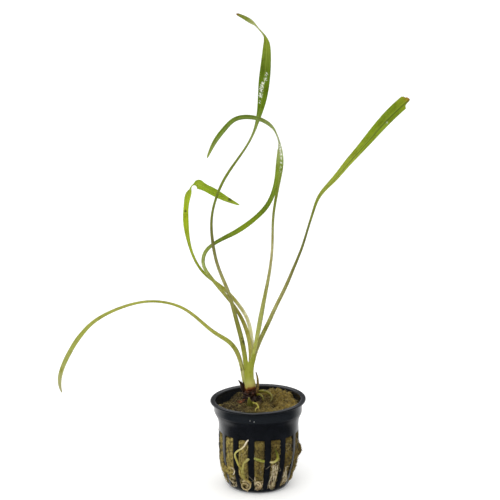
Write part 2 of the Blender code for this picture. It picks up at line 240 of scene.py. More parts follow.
def pot_sector():
    """One pitch of the pot, from the middle of one rib to the middle of the next."""
    chain = [np.array(p) for p in POT_OUTSIDE + FLANGE + POT_INSIDE[::-1]]
    half_slot = SLOT_ANGLE / 2
    half_pitch = SLOT_PITCH / 2
    turns = [-half_pitch, -(half_slot + half_pitch) / 2, -half_slot, -0.6 * half_slot, -0.2 * half_slot]
    turns += [-turn for turn in turns[::-1]]
    last = len(chain) - 1
    drain = (1, 2)
    slot = (len(FOOT), len(FOOT) + WALL_STEPS - 1)
    open_runs = [drain, slot]
    bm = bmesh.new()
    rounding = bm.edges.layers.float.new("bevel_weight_edge")
    grid = []
    for radius, height in chain:
        places = [Vector((*around(radius, FRONT_SLOT + turn), height)) for turn in turns]
        grid.append([bm.verts.new(place * MM) for place in places])
    columns = range(len(turns) - 1)
    slot_columns = [k for k in columns if abs(turns[k] + turns[k + 1]) / 2 < half_slot]
    for low in range(last):
        mirrored = last - low - 1
        is_open = any(start <= band < end for start, end in open_runs for band in (low, mirrored))
        for k in columns:
            if not (is_open and k in slot_columns):
                bm.faces.new((grid[low][k], grid[low][k + 1], grid[low + 1][k + 1], grid[low + 1][k]))
    for start, end in open_runs:
        for k, step in ((slot_columns[0], 0), (slot_columns[-1] + 1, 1)):
            for low in range(start, end):
                inner = last - low
                corners = (grid[low][k], grid[low + 1][k], grid[inner - 1][k], grid[inner][k])
                bm.faces.new(corners if step else corners[::-1])
        for k in slot_columns:
            for row in (start, end):
                corners = (grid[row][k], grid[row][k + 1], grid[last - row][k + 1], grid[last - row][k])
                bm.faces.new(corners)
    for row in slot:
        for k in (slot_columns[0], slot_columns[-1] + 1):
            bm.edges.get((grid[row][k], grid[last - row][k]))[rounding] = 1.0
    for row, centre_height in ((0, 0.0), (last, WALL)):
        centre = bm.verts.new((0.0, 0.0, centre_height * MM))
        for k in columns:
            bm.faces.new((centre, grid[row][k], grid[row][k + 1]))
    return as_object("pot_sector", smooth_mesh(bm, "pot_sector"))


def round_the_pot():
    """A geometry tree that repeats one sector round the upright axis and joins the seams."""
    tree, given = geometry_tree(
        "round_the_pot", "Pot", Sector="Geometry", Count="Int", Seam="Float", Finish="Material"
    )
    share = add(tree, "ShaderNodeMath", {0: math.tau, 1: given["Count"]}, operation="DIVIDE")
    index = add(tree, "GeometryNodeInputIndex")
    turn = add(tree, "ShaderNodeMath", {0: index, 1: share}, operation="MULTIPLY")
    euler = add(tree, "ShaderNodeCombineXYZ", {"Z": turn})
    rotation = add(tree, "FunctionNodeEulerToRotation", {"Euler": euler})
    points = add(tree, "GeometryNodePoints", {"Count": given["Count"]})
    placed = add(
        tree, "GeometryNodeInstanceOnPoints",
        {"Points": points, "Instance": given["Sector"], "Rotation": rotation},
    )
    real = add(tree, "GeometryNodeRealizeInstances", {"Geometry": placed})
    joined = add(tree, "GeometryNodeMergeByDistance", {"Geometry": real, "Distance": given["Seam"]})
    done = add(tree, "GeometryNodeSetMaterial", {"Geometry": joined, "Material": given["Finish"]})
    add(tree, "NodeGroupOutput", {0: done})
    return tree


def black_polypropylene():
    """Moulded polypropylene, blue-black and glossy, cloudy from hard water, painted lighter round its collar
    as a painted sheen.
    """
    made, tree, shader, place = surface("moulded black polypropylene", IOR=1.49)
    haze = add(
        tree, "ShaderNodeTexNoise", {"Vector": place, "Scale": 1 / (7 * MM), "Detail": 6.0, "Roughness": 0.6}
    )
    tint = add(
        tree, "ShaderNodeValToRGB", {"Fac": haze}, stops={0.35: "0b0e12", 0.6: "11141a", 0.8: "1b1f25"}
    )
    height = add(tree, "ShaderNodeSeparateXYZ", {"Vector": place}).outputs["Z"]
    from_foot = add(tree, "ShaderNodeMath", {0: height, 1: POT_HEIGHT * MM}, operation="DIVIDE")
    # Painted reflection: the band round the collar, between its step and the flange, is painted lighter for
    # the sheen on it
    painted_sheen_band = add(
        tree, "ShaderNodeValToRGB", {"Fac": from_foot},
        stops={0.868: "000000", 0.876: "ffffff", 0.965: "ffffff", 0.975: "000000"},
    )
    with_painted_sheen = add(tree, "ShaderNodeMix", {"Factor": painted_sheen_band, "A": tint, "B": "1a1e23"}, data_type="RGBA")
    upright = add(tree, "ShaderNodeMapping", {"Vector": place, "Scale": (1.0, 1.0, 0.12)})
    scuff = add(tree, "ShaderNodeTexNoise", {"Vector": upright, "Scale": 1 / (0.9 * MM), "Detail": 4.0})
    scuffed = add(
        tree, "ShaderNodeMapRange",
        {"Value": scuff, "From Min": 0.35, "From Max": 0.7, "To Min": 0.15, "To Max": 0.27},
    )
    grain = add(tree, "ShaderNodeTexNoise", {"Vector": place, "Scale": 1 / (0.7 * MM), "Detail": 2.0})
    relief = add(tree, "ShaderNodeBump", {"Height": grain, "Strength": 0.12, "Distance": 0.05 * MM})
    feed(shader, {"Base Color": with_painted_sheen, "Roughness": scuffed, "Normal": relief})
    return made


def net_pot():
    """The whole pot: one sector with its edges rounded, repeated all round and bent out of true."""
    source = pot_sector()
    for how, width, segments in (("WEIGHT", SLOT_CORNER, 3), ("ANGLE", MOULDED_EDGE, 2)):
        bevel = source.modifiers.new("rounding", "BEVEL")
        bevel.limit_method = how
        bevel.width = width * MM
        bevel.segments = segments
        bevel.angle_limit = math.radians(ROUNDED_FROM)
    finish = black_polypropylene()
    piece = grown("pot_shell", source, round_the_pot(), Count=SLOTS, Seam=SEAM * MM, Finish=finish)
    bm = bmesh.new()
    bm.from_mesh(piece.data)
    for vert in bm.verts:
        vert.co.x += lean(vert.co.z / MM) * MM
        vert.co.z += askew(vert.co.x / MM, vert.co.y / MM, vert.co.z / MM) * MM
        vert.co.z = max(vert.co.z, 0.0)
    bmesh.ops.recalc_face_normals(bm, faces=bm.faces)
    bm.to_mesh(piece.data)
    bm.free()
    piece.data.shade_smooth()
    piece.data.set_sharp_from_angle(angle=math.radians(SHARP_FROM))
    return piece


belongs(net_pot(), "black_plastic", "net_pot")

# The wool: a plug of mineral wool, pushed into the pot damp and now swollen out through the slots.
# It is felted from fine fibre, stained olive and brown, lumpy on top with a mound at the back
# right and a hollow at the left where the wall shows.

WOOL_TOP = 48.4
WOOL_FLOOR = 1.5
EDGE_GAP = 0.4
EDGE_WAVER = 1.1
EDGE_DROP = 2.2
SHOULDER_DROP = 2.4
SHOULDER_FROM = 0.88
TURN_STEPS = 360
WALL_ROWS = 100
TOP_ROWS = 46

# Sizes of its lumps from coarse to fine, on top and in the slots
TOP_LUMPS = (4.6, 2.1, 0.95)
SIDE_LUMPS = (3.4, 1.3)

# Where it swells: degrees from the front, height, spread in degrees, spread in height, millimetres
SWELLINGS = [
    (-60, 12.5, 13, 6, 1.25), (-45, 12, 6, 3, 0.5), (-72, 28, 30, 9, -0.5), (94.5, 20.5, 8.5, 4.2, 2.1),
    (76, 14, 9, 4, 0.6), (80, 30, 30, 7, -0.9), (-98, 27, 12, 12, -0.9), (150, 22, 14, 6, 1.4),
    (-140, 17, 12, 6, 1.5), (-165, 27, 8, 5, 1.1), (-46, 6, 6, 2.2, -3), (-26, 3.5, 6, 2, -1.5),
    (25, 8, 6, 6.5, -2), (1, 5.5, 6, 3.5, -1.8), (2, 14, 5, 4, -0.7), (48.5, 8, 6, 6, -2),
    (-47, 5, 6, 3, -1.8), (122, 8, 6, 3, -2.5),
]


def bump(x, y, centre_x, centre_y, spread):
    return math.exp(-((x - centre_x) ** 2 + (y - centre_y) ** 2) / (2 * spread**2))


def tufts(place, size):
    """Rounded lumps with creases between them, 0 in a crease and about 1 on a lump."""
    return min(abs(noise.noise(place / size)) * 2.2, 1.0) ** 0.7


# Mounds and hollows on top: x, y, spread and height
MOUNDS = [
    (12, 13, 8, 2.8), (-19, 9, 7.5, -4.2), (-2, 21, 4, -1.6), (22, 7, 3.2, -2.2), (9.5, -4.5, 1.5, -1.9),
    (7, 7.5, 2.2, 1.2), (18.5, -6, 3.5, 1.1), (-16, -9, 4, 0.9), (-9, -16, 4, -0.7),
]

# A tuft curled into a ring: its middle, the ring's radius, spread and height, the pit's and its depth
CURLED_TUFT = (14.8, 2.2)
TUFT_RING = (2.9, 1.2, 1.9)
TUFT_PIT = (1.5, 1.6)

# A hole painted dark with painted shade: its middle and its spread
HOLE = (9.5, -4.5, 1.3)


def from_tuft(x, y):
    return math.hypot(x - CURLED_TUFT[0], y - CURLED_TUFT[1])


def wool_height(x, y):
    """The height of the top without its lumps."""
    mounds = sum(much * bump(x, y, at_x, at_y, spread) for at_x, at_y, spread, much in MOUNDS)
    off = from_tuft(x, y)
    radius, spread, rise = TUFT_RING
    wide, deep = TUFT_PIT
    ring = rise * math.exp(-(((off - radius) / spread) ** 2))
    return WOOL_TOP + mounds + ring - deep * math.exp(-((off / wide) ** 2))


def wool_surface(x, y):
    """The lumpy top: its height, and how far out of a crease the place is."""
    place = Vector((x, y, 0.0))
    coarse, medium, small = TOP_LUMPS
    lump = tufts(place + Vector((3.0, 8.0, 40.0)), coarse)
    middle = tufts(place + Vector((1.0, 5.0, 20.0)), medium)
    fine = tufts(place, small)
    height = wool_height(x, y) + 2.6 * (lump - 0.5) + 1.3 * (middle - 0.45) + 0.5 * (fine - 0.4)
    # The second value sets the painted crease shade: low in creases, in the hole and in the tuft's pit, which
    # are painted dark as shade
    pit = math.exp(-((from_tuft(x, y) / 1.6) ** 2)) + bump(x, y, *HOLE)
    return height, max(0.45 * lump + 0.35 * middle + 0.2 * fine - 0.7 * pit, 0.0)


def outside_radius(height):
    return float(np.interp(height, [z for _, z in POT_OUTSIDE], [r for r, _ in POT_OUTSIDE]))


def inside_radius(height):
    return float(np.interp(height, [z for _, z in POT_INSIDE[3:]], [r for r, _ in POT_INSIDE[3:]]))


def wool_radius(turn, height):
    """How far out the side of the wool is, pressed back behind each rib and swollen in each slot."""
    aside = (turn - FRONT_SLOT + SLOT_PITCH / 2) % SLOT_PITCH - SLOT_PITCH / 2
    opened = clamp((SLOT_ANGLE / 2 + 0.4 - abs(aside)) / 2.4)
    ends = clamp((height - SLOT_BOTTOM + 0.2) / 2.0) * clamp((SLOT_TOP + 0.3 - height) / 1.6)
    swell = 0.0
    for centre, level, wide, tall, much in SWELLINGS:
        off = (turn - centre + 180) % 360 - 180
        swell += much * math.exp(-((off / wide) ** 2) - ((height - level) / tall) ** 2)
    pressed = inside_radius(height) - 0.3
    free = outside_radius(height) + 0.05 + swell
    spill = clamp((swell - 0.75) / 0.5)
    openness = max(eased(opened), spill) * ends
    return pressed + (free - pressed) * openness, openness, swell


def close_rings(bm, rings, layer, ends):
    """Joins rings of vertices into a skin and closes its two ends with fans.

    Ends are the values that the middles of the two fans get in the layer.
    """
    count = len(rings[0])
    for low, high in zip(rings, rings[1:]):
        for k in range(count):
            after = (k + 1) % count
            bm.faces.new((low[k], low[after], high[after], high[k]))
    for ring, value in zip((rings[0], rings[-1]), ends):
        centre = bm.verts.new(sum((v.co for v in ring), Vector()) / count)
        centre[layer] = value
        for k in range(count):
            bm.faces.new((ring[k], ring[(k + 1) % count], centre))


def wool_body():
    """The plug: a side that follows the pot's wall and slots, and a lumpy top, as one closed skin."""
    bm = bmesh.new()
    painted_crease_shade = bm.verts.layers.float.new("painted_crease_shade")
    fuzz = bm.verts.layers.float.new("fuzz")
    turns = [FRONT_SLOT + 360.0 * k / TURN_STEPS for k in range(TURN_STEPS)]
    rings = []
    edge_radius = [
        inside_radius(WOOL_TOP) - EDGE_GAP - EDGE_WAVER * noise.noise(Vector((turn / 14.0, 3.0, 0.0))) ** 2
        for turn in turns
    ]
    coarse, small = SIDE_LUMPS
    for row in range(WALL_ROWS):
        ring = []
        for turn, edge in zip(turns, edge_radius):
            level = wool_height(*around(edge, turn)) - EDGE_DROP
            height = WOOL_FLOOR + (level - WOOL_FLOOR) * row / (WALL_ROWS - 1)
            radius, openness, swell = wool_radius(turn, height)
            radius = min(radius, radius + (edge - radius) * max((height - 43.0) / 4.0, 0.0))
            place = Vector((*around(radius, turn), height))
            lump = tufts(place, coarse)
            fine = tufts(place + Vector((9.0, 4.0, 7.0)), small)
            push = openness * (0.8 * (lump - 0.5) + 0.4 * (fine - 0.4))
            place += Vector((*around(1.0, turn), 0.0)) * push
            place.x += lean(height)
            vert = bm.verts.new(place * MM)
            # Painted shade: darkest where the wool is pressed back behind the ribs, in creases between lumps
            # and where it sinks in
            vert[painted_crease_shade] = openness * (0.65 * lump + 0.35 * fine) * min(max(1 + 0.45 * swell, 0.1), 1.0)
            vert[fuzz] = openness
            ring.append(vert)
        rings.append(ring)
    for row in range(TOP_ROWS):
        share = 1 - row / TOP_ROWS
        ring = []
        for turn, edge in zip(turns, edge_radius):
            x, y = around(edge * share, turn)
            shoulder = SHOULDER_DROP * max((share - SHOULDER_FROM) / (1 - SHOULDER_FROM), 0.0) ** 2
            level, openness = wool_surface(x, y)
            vert = bm.verts.new(Vector((x, y, level - shoulder)) * MM)
            # Painted shade in the creases of the top
            vert[painted_crease_shade] = openness
            vert[fuzz] = 1.0 if share < 0.97 else 0.0
            ring.append(vert)
        rings.append(ring)
    close_rings(bm, rings, painted_crease_shade, (0.5, 0.5))
    return smooth_mesh(bm, "wool_plug")


def shaded(tree, under, pattern, strength, stops):
    """A colour darkened by a ramp along a pattern, at a strength."""
    tones = add(tree, "ShaderNodeValToRGB", {"Fac": pattern}, stops=stops)
    inputs = {"Factor": strength, "A": under, "B": tones}
    return add(tree, "ShaderNodeMix", inputs, data_type="RGBA", blend_type="MULTIPLY")


def spotted(tree, under, colour, pattern, low, high, most=1.0):
    """A colour with another over it where a pattern rises from low to high, up to a greatest share."""
    inputs = {"Value": pattern, "From Min": low, "From Max": high, "To Max": most}
    share = add(tree, "ShaderNodeMapRange", inputs)
    return add(tree, "ShaderNodeMix", {"Factor": share, "A": under, "B": colour}, data_type="RGBA")


def stained_mineral_wool():
    """Felted mineral wool after months under water: matt, fibrous, olive and tan, dark in its creases.

    Its strands are drawn far coarser than they are, so that they show. The darkness in its creases
    is painted shade, and its sides are painted lighter towards the left as painted light.
    """
    made, tree, shader, place = surface(
        "stained mineral wool", Roughness=0.93, Specular_IOR_Level=0.2, Sheen_Weight=0.25,
        Sheen_Roughness=0.6, Sheen_Tint="a89a63",
    )
    stain = add(
        tree, "ShaderNodeTexNoise",
        {"Vector": place, "Scale": 1 / (11 * MM), "Detail": 5.0, "Roughness": 0.62},
    )
    broad = add(
        tree, "ShaderNodeValToRGB", {"Fac": stain},
        stops={0.3: "43371a", 0.43: "625327", 0.55: "7d6b2e", 0.7: "a38f40"},
    )
    soil = add(
        tree, "ShaderNodeTexNoise",
        {"Vector": place, "Scale": 1 / (4.5 * MM), "Detail": 4.0, "Roughness": 0.6},
    )
    parts = add(tree, "ShaderNodeSeparateXYZ", {"Vector": place}).outputs
    leftwards = add(
        tree, "ShaderNodeMapRange",
        {"Value": parts["X"], "From Min": 4 * MM, "From Max": -12 * MM, "To Min": -0.25, "To Max": 0.6},
    )
    topmost = add(tree, "ShaderNodeMapRange", {"Value": parts["Z"], "From Min": 38 * MM, "From Max": 45 * MM})
    soiling = add(tree, "ShaderNodeMath", {0: soil, 1: leftwards}, operation="ADD")
    soiled = add(tree, "ShaderNodeMapRange", {"Value": soiling, "From Min": 0.5, "From Max": 0.95})
    dirt = add(tree, "ShaderNodeMath", {0: soiled, 1: topmost}, operation="MULTIPLY")
    earthy = add(tree, "ShaderNodeMix", {"Factor": dirt, "A": broad, "B": "382d1e"}, data_type="RGBA")
    # Painted light: below the top, the wool's sides are painted lighter and yellower towards the left, where
    # the light falls on them
    lit = add(
        tree, "ShaderNodeMapRange",
        {"Value": parts["X"], "From Min": 5 * MM, "From Max": -15 * MM, "To Min": 0.0, "To Max": 0.9},
    )
    below_top = add(tree, "ShaderNodeMath", {0: 1.0, 1: topmost}, operation="SUBTRACT")
    painted_light_share = add(tree, "ShaderNodeMath", {0: lit, 1: below_top}, operation="MULTIPLY")
    fresh = add(
        tree, "ShaderNodeMapRange",
        {"Value": parts["X"], "From Min": 5 * MM, "From Max": 18 * MM, "To Min": 0.0, "To Max": 0.55},
    )
    cleaner = add(tree, "ShaderNodeMath", {0: fresh, 1: topmost}, operation="MULTIPLY")
    straw = add(tree, "ShaderNodeMix", {"Factor": cleaner, "A": earthy, "B": "bfa556"}, data_type="RGBA")
    painted_light_left = add(tree, "ShaderNodeMix", {"Factor": painted_light_share, "A": straw, "B": "d0bf72"}, data_type="RGBA")
    strand = add(
        tree, "ShaderNodeTexNoise",
        {"Vector": place, "Scale": 1 / (0.75 * MM), "Detail": 5.0, "Roughness": 0.7, "Distortion": 1.6},
    )
    streaked = shaded(tree, painted_light_left, strand, 0.85, {0.33: "565046", 0.5: "c6c0ae", 0.68: "ffffff"})
    crumb = add(
        tree, "ShaderNodeTexNoise",
        {"Vector": place, "Scale": 1 / (1.3 * MM), "Detail": 3.0, "Roughness": 0.7},
    )
    crumbed = spotted(tree, streaked, "2a2215", crumb, 0.53, 0.62, 0.85)
    # Painted shade: the wool is darkened in its creases and hollows and behind the ribs
    painted_crease_shade = add(tree, "ShaderNodeAttribute", attribute_name="painted_crease_shade").outputs["Fac"]
    deep = shaded(tree, crumbed, painted_crease_shade, 0.9, {0.04: "211c14", 0.22: "8f8674", 0.5: "ffffff"})
    relief = add(tree, "ShaderNodeBump", {"Height": strand, "Strength": 0.8, "Distance": 0.35 * MM})
    feed(shader, {"Base Color": deep, "Normal": relief})
    return made


def loose_wool_fibre():
    """Single strands of the wool, standing loose: pale, dry, slightly glassy, drawn thicker to show."""
    made, tree, shader, place = surface("loose mineral wool fibre", Roughness=0.7)
    change = add(tree, "ShaderNodeTexNoise", {"Vector": place, "Scale": 1 / (3 * MM), "Detail": 3.0})
    tint = add(
        tree, "ShaderNodeValToRGB", {"Fac": change}, stops={0.32: "4a3d20", 0.5: "7b6a36", 0.68: "b5a45c"}
    )
    feed(shader, {"Base Color": tint})
    return made


def fibres_on_wool():
    """A geometry tree that stands short arched fibres all over the wool where it is free."""
    tree, given = geometry_tree(
        "fibres_on_wool", "Fibres", Wool="Geometry", Spacing="Float", Density="Float", Length="Float",
        Thickness="Float", Seed="Int", Finish="Material",
    )
    fuzz = add(tree, "GeometryNodeInputNamedAttribute", {"Name": "fuzz"}, data_type="FLOAT")
    spots = add(
        tree, "GeometryNodeDistributePointsOnFaces",
        {
            "Mesh": given["Wool"], "Distance Min": given["Spacing"], "Density Max": given["Density"],
            "Density Factor": fuzz, "Seed": given["Seed"],
        },
        distribute_method="POISSON",
    )
    start, middle, end = (
        add(tree, "ShaderNodeVectorMath", {0: share, "Scale": given["Length"]}, operation="SCALE")
        for share in ((-0.5, 0.0, -0.06), (0.1, 0.35, 0.42), (0.5, -0.1, 0.02))
    )
    arch = add(
        tree, "GeometryNodeCurveQuadraticBezier",
        {"Resolution": 5, "Start": start, "Middle": middle, "End": end},
    )
    section = add(tree, "GeometryNodeCurvePrimitiveCircle", {"Resolution": 3, "Radius": given["Thickness"]})
    fibre = add(tree, "GeometryNodeCurveToMesh", {"Curve": arch, "Profile Curve": section, "Fill Caps": True})
    tilt = add(
        tree, "FunctionNodeRandomValue",
        {"Min": (-0.5, -0.5, 0.0), "Max": (0.5, 0.5, math.tau), "Seed": given["Seed"]},
        data_type="FLOAT_VECTOR",
    )
    turned = add(tree, "FunctionNodeEulerToRotation", {"Euler": tilt})
    rotation = add(
        tree, "FunctionNodeRotateRotation", {"Rotation": spots.outputs["Rotation"], "Rotate By": turned},
        rotation_space="LOCAL",
    )
    size = add(
        tree, "FunctionNodeRandomValue",
        {"Min": (0.45, 0.4, 0.3), "Max": (1.25, 1.4, 1.1), "Seed": given["Seed"]}, data_type="FLOAT_VECTOR",
    )
    placed = add(
        tree, "GeometryNodeInstanceOnPoints",
        {"Points": spots, "Instance": fibre, "Rotation": rotation, "Scale": size},
    )
    real = add(tree, "GeometryNodeRealizeInstances", {"Geometry": placed})
    done = add(tree, "GeometryNodeSetMaterial", {"Geometry": real, "Material": given["Finish"]})
    add(tree, "NodeGroupOutput", {0: done})
    return tree


wool_mesh = wool_body()
wool_mesh.materials.append(stained_mineral_wool())
belongs(as_object("wool_plug", wool_mesh), "mineral_wool", "rockwool_plug")
fibres = grown(
    "wool_fibres", as_object("wool_copy", wool_mesh.copy()), fibres_on_wool(), Spacing=0.75 * MM,
    Density=1.1 / MM**2, Length=2.6 * MM, Thickness=0.075 * MM, Seed=4, Finish=loose_wool_fibre(),
)
belongs(fibres, "mineral_wool")

# The rootstock: a short upright stump, dark maroon and knobbly with old leaf scars, pushed into the
# wool, with a clump of dead leaf and root stubs round its foot. Nothing holds it but the wool and
# its own roots.

CROWN_X = -4.6
CROWN_Y = 4.0
CROWN_OUTLINE = [(3, 43), (3.6, 46), (3.8, 49), (3.8, 51.5), (3.6, 54), (3.3, 56), (2.6, 57.4)]
CROWN_TURNS = 84
CROWN_ROWS = 60
STUBS = 84
SECOND_CLUMP = (4.6, -3.6)
TONE_STEP = 0.618


def smooth_rows(rows, samples):
    """A natural cubic through rows whose first three numbers are a place, with a few samples a span."""
    rows = np.array(rows, float)
    spans = np.linalg.norm(np.diff(rows[:, :3], axis=0), axis=1)
    count = len(rows)
    system = np.eye(count)
    right = np.zeros_like(rows)
    slopes = np.diff(rows, axis=0) / spans[:, None]
    for k in range(1, count - 1):
        system[k, k - 1 : k + 2] = spans[k - 1], 2 * (spans[k - 1] + spans[k]), spans[k]
        right[k] = 6 * (slopes[k] - slopes[k - 1])
    bends = np.linalg.solve(system, right)
    steps = np.arange(0, count - 1 + 0.5 / samples, 1 / samples)
    made = []
    for step in steps:
        k = min(int(step), count - 2)
        b = step - k
        a = 1 - b
        curve = (a**3 - a) * bends[k] + (b**3 - b) * bends[k + 1]
        made.append(a * rows[k] + b * rows[k + 1] + curve * spans[k] ** 2 / 6)
    return np.array(made), steps


def walked_along(path):
    """The length walked from a path's start to each of its places."""
    return np.concatenate([[0.0], np.cumsum(np.linalg.norm(np.diff(path[:, :3], axis=0), axis=1))])


def rootstock_body():
    """A stump lathed along its outline, pushed out into knobs and drawn in at each ring of leaf scars."""
    bm = bmesh.new()
    rise = bm.verts.layers.float.new("along")
    keys = np.array(CROWN_OUTLINE)
    heights = np.linspace(keys[0, 1], keys[-1, 1], CROWN_ROWS)
    rings = []
    for height in heights:
        radius = float(np.interp(height, keys[:, 1], keys[:, 0]))
        ring = []
        for k in range(CROWN_TURNS):
            angle = math.tau * k / CROWN_TURNS
            out = Vector((math.cos(angle), math.sin(angle), 0.0))
            place = Vector((CROWN_X, CROWN_Y, height)) + out * radius
            knob = 1.1 * (tufts(place + Vector((2.0, 0.0, 5.0)), 2.6) - 0.5) + 0.5 * (tufts(place, 1.1) - 0.4)
            scar = 0.16 * math.sin(height * 4.1 + 1.5 * math.sin(2 * angle))
            vert = bm.verts.new((place + out * (knob + scar)) * MM)
            vert[rise] = (height - keys[0, 1]) / (keys[-1, 1] - keys[0, 1])
            ring.append(vert)
        rings.append(ring)
    close_rings(bm, rings, rise, (0.0, 1.0))
    return smooth_mesh(bm, "rootstock")


def plant_skin(name, lengthwise, rough=0.45, mottle="b9a37c", grain=0.5):
    """Skin of a root, stub or shoot: a dull waxy shine, fine wrinkles along it and brownish mottling.

    Lengthwise are its colours from where it starts to its tip. The grain is the size of its
    wrinkles in millimetres.
    """
    made, tree, shader, place = surface(
        name, IOR=1.4, Subsurface_Weight=0.1, Subsurface_Radius=(1.0, 0.7, 0.3), Subsurface_Scale=0.4 * MM
    )
    along = add(tree, "ShaderNodeAttribute", attribute_name="along").outputs["Fac"]
    tone = add(tree, "ShaderNodeAttribute", attribute_name="tone").outputs["Fac"]
    base = add(tree, "ShaderNodeValToRGB", {"Fac": along}, stops=lengthwise)
    patch = add(
        tree, "ShaderNodeTexNoise",
        {"Vector": place, "Scale": 1 / (1.8 * MM), "Detail": 4.0, "Roughness": 0.6},
    )
    mottled = shaded(tree, base, patch, 0.75, {0.36: mottle, 0.56: "ffffff"})
    toned = shaded(tree, mottled, tone, 0.8, {0.0: "c8b89a", 0.55: "ffffff"})
    wrinkle = add(tree, "ShaderNodeTexNoise", {"Vector": place, "Scale": 1 / (grain * MM), "Detail": 3.0})
    shine = add(
        tree, "ShaderNodeMapRange",
        {"Value": wrinkle, "From Min": 0.3, "From Max": 0.7, "To Min": rough - 0.08, "To Max": rough + 0.1},
    )
    relief = add(tree, "ShaderNodeBump", {"Height": wrinkle, "Strength": 0.5, "Distance": 0.2 * grain * MM})
    feed(shader, {"Base Color": toned, "Roughness": shine, "Normal": relief})
    return made


def stems_along_routes():
    """A geometry tree that turns polylines into closed round stems that wander a little on their way."""
    tree, given = geometry_tree(
        "stems_along_routes", "Stems", Routes="Geometry", Wander="Float", Grain="Float", Sides="Int",
        Finish="Material",
    )
    routes = add(tree, "GeometryNodeMeshToCurve", {0: given["Routes"]})
    place = add(tree, "GeometryNodeInputPosition")
    fineness = add(tree, "ShaderNodeMath", {0: 1.0, 1: given["Grain"]}, operation="DIVIDE")
    drift = add(tree, "ShaderNodeTexNoise", {"Vector": place, "Scale": fineness, "Detail": 1.0})
    centred = add(
        tree, "ShaderNodeVectorMath", {0: drift.outputs["Color"], 1: (0.5, 0.5, 0.5)}, operation="SUBTRACT"
    )
    offset = add(tree, "ShaderNodeVectorMath", {0: centred, "Scale": given["Wander"]}, operation="SCALE")
    moved = add(tree, "GeometryNodeSetPosition", {"Geometry": routes, "Offset": offset})
    section = add(tree, "GeometryNodeCurvePrimitiveCircle", {"Resolution": given["Sides"], "Radius": 1.0})
    girth = add(tree, "GeometryNodeInputNamedAttribute", {"Name": "girth"}, data_type="FLOAT")
    skin = add(
        tree, "GeometryNodeCurveToMesh",
        {"Curve": moved, "Profile Curve": section, "Scale": girth, "Fill Caps": True},
    )
    smooth = add(tree, "GeometryNodeSetShadeSmooth", {"Geometry": skin})
    real = add(tree, "GeometryNodeRealizeInstances", {"Geometry": smooth})
    done = add(tree, "GeometryNodeSetMaterial", {"Geometry": real, "Material": given["Finish"]})
    add(tree, "NodeGroupOutput", {0: done})
    return tree


STEM_TREE = stems_along_routes()


def stems(name, routes, finish, wander=0.0, grain=2.0, sides=8, step=0.4):
    """Round stems along routes of x, y, z and radius, with rounded ends, as one mesh.

    The wander and its grain, and the step between rings, are in millimetres.
    """
    places, links, girths, shares, tones = [], [], [], [], []
    for number, route in enumerate(routes):
        swept, _ = smooth_rows(route, 10)
        walked = walked_along(swept)
        length = walked[-1]
        first, last = (min(max(r, 0.05), 0.45 * length) for r in (swept[0, 3], swept[-1, 3]))
        round_off = 1 - np.cos(np.linspace(0.12, math.pi / 2, 4))
        middle = np.linspace(first, length - last, max(int((length - first - last) / step), 2))
        stations = np.concatenate([first * round_off[:-1], middle, length - last * round_off[:-1][::-1]])
        radius = np.maximum(np.interp(stations, walked, swept[:, 3]), 0.03)
        for end, size in ((stations, first), (length - stations, last)):
            radius = radius * np.sqrt(np.clip(1 - ((size - end).clip(0) / size) ** 2, 0.02, 1))
        start = len(places)
        for where, size in zip(stations, radius):
            places.append([float(np.interp(where, walked, swept[:, k])) * MM for k in range(3)])
            girths.append(float(size) * MM)
            shares.append(float(where / length))
            tones.append((number * TONE_STEP + 0.3) % 1.0)
        links += [(k, k + 1) for k in range(start, len(places) - 1)]
    mesh = bpy.data.meshes.new(name)
    mesh.from_pydata(places, links, [])
    for label, values in (("girth", girths), ("along", shares), ("tone", tones)):
        mesh.attributes.new(label, "FLOAT", "POINT").data.foreach_set("value", values)
    source = as_object(name + "_routes", mesh)
    return grown(name, source, STEM_TREE, Wander=wander * MM, Grain=grain * MM, Sides=sides, Finish=finish)


def dead_stubs():
    """Routes of the stubs: short, fat at the root, bent and pointing outwards round the rootstock."""
    chance = np.random.default_rng(11)
    routes = []
    for number in range(STUBS):
        aside = number % 3 == 0
        off_x, off_y = SECOND_CLUMP if aside else (0.0, 0.0)
        middle_x, middle_y = CROWN_X + off_x, CROWN_Y + off_y
        turn = chance.uniform(0, math.tau)
        out = np.array([math.cos(turn), math.sin(turn)])
        away = chance.uniform(0.2, 1.6) if aside else chance.uniform(2.8, 3.8)
        height = chance.uniform(49.2, 52.2) if aside else chance.uniform(48.2, 54.6)
        length = chance.uniform(1.5, 3.6) * (0.5 if math.cos(turn) < -0.35 else 1.0)
        climb = chance.uniform(-0.5, 0.9)
        size = chance.uniform(0.35, 0.8)
        bend = chance.normal(0, 0.5)
        route = []
        for share in (0.0, 0.4, 0.75, 1.0):
            heading = turn + bend * share
            reach = away + length * share * 0.75
            x = middle_x + reach * math.cos(heading)
            y = middle_y + reach * math.sin(heading)
            z = height + climb * length * share + 0.3 * chance.normal()
            route.append((x, y, z, size * (1 - 0.62 * share)))
        routes.append(route)
    return routes


rootstock_mesh = rootstock_body()
rootstock_bark = plant_skin(
    "rootstock bark", {0: "1d130d", 0.5: "2c1a12", 0.75: "452616", 0.9: "74441f", 1: "9a6e34"}, rough=0.5,
    mottle="6b5248",
)
rootstock_mesh.materials.append(rootstock_bark)
belongs(as_object("rootstock", rootstock_mesh), "rootstock", "crown")
stub_skin = plant_skin(
    "dead stub bark", {0: "2a1a12", 0.6: "3c2a1e", 1: "64492f"}, rough=0.55, mottle="5f5044"
)
belongs(stems("dead_stubs", dead_stubs(), stub_skin, wander=0.5, grain=1.2, sides=7), "rootstock")

# The leaves: six long ribbons from one rootstock. Each has a round stalk that flattens slowly into
# a blade with a midrib, thin margins and long fine veins. A stalk's foot is a pale sheath that
# wraps the next one. Rows are x, y, z, width and, where the strip rolls about itself, its turn.

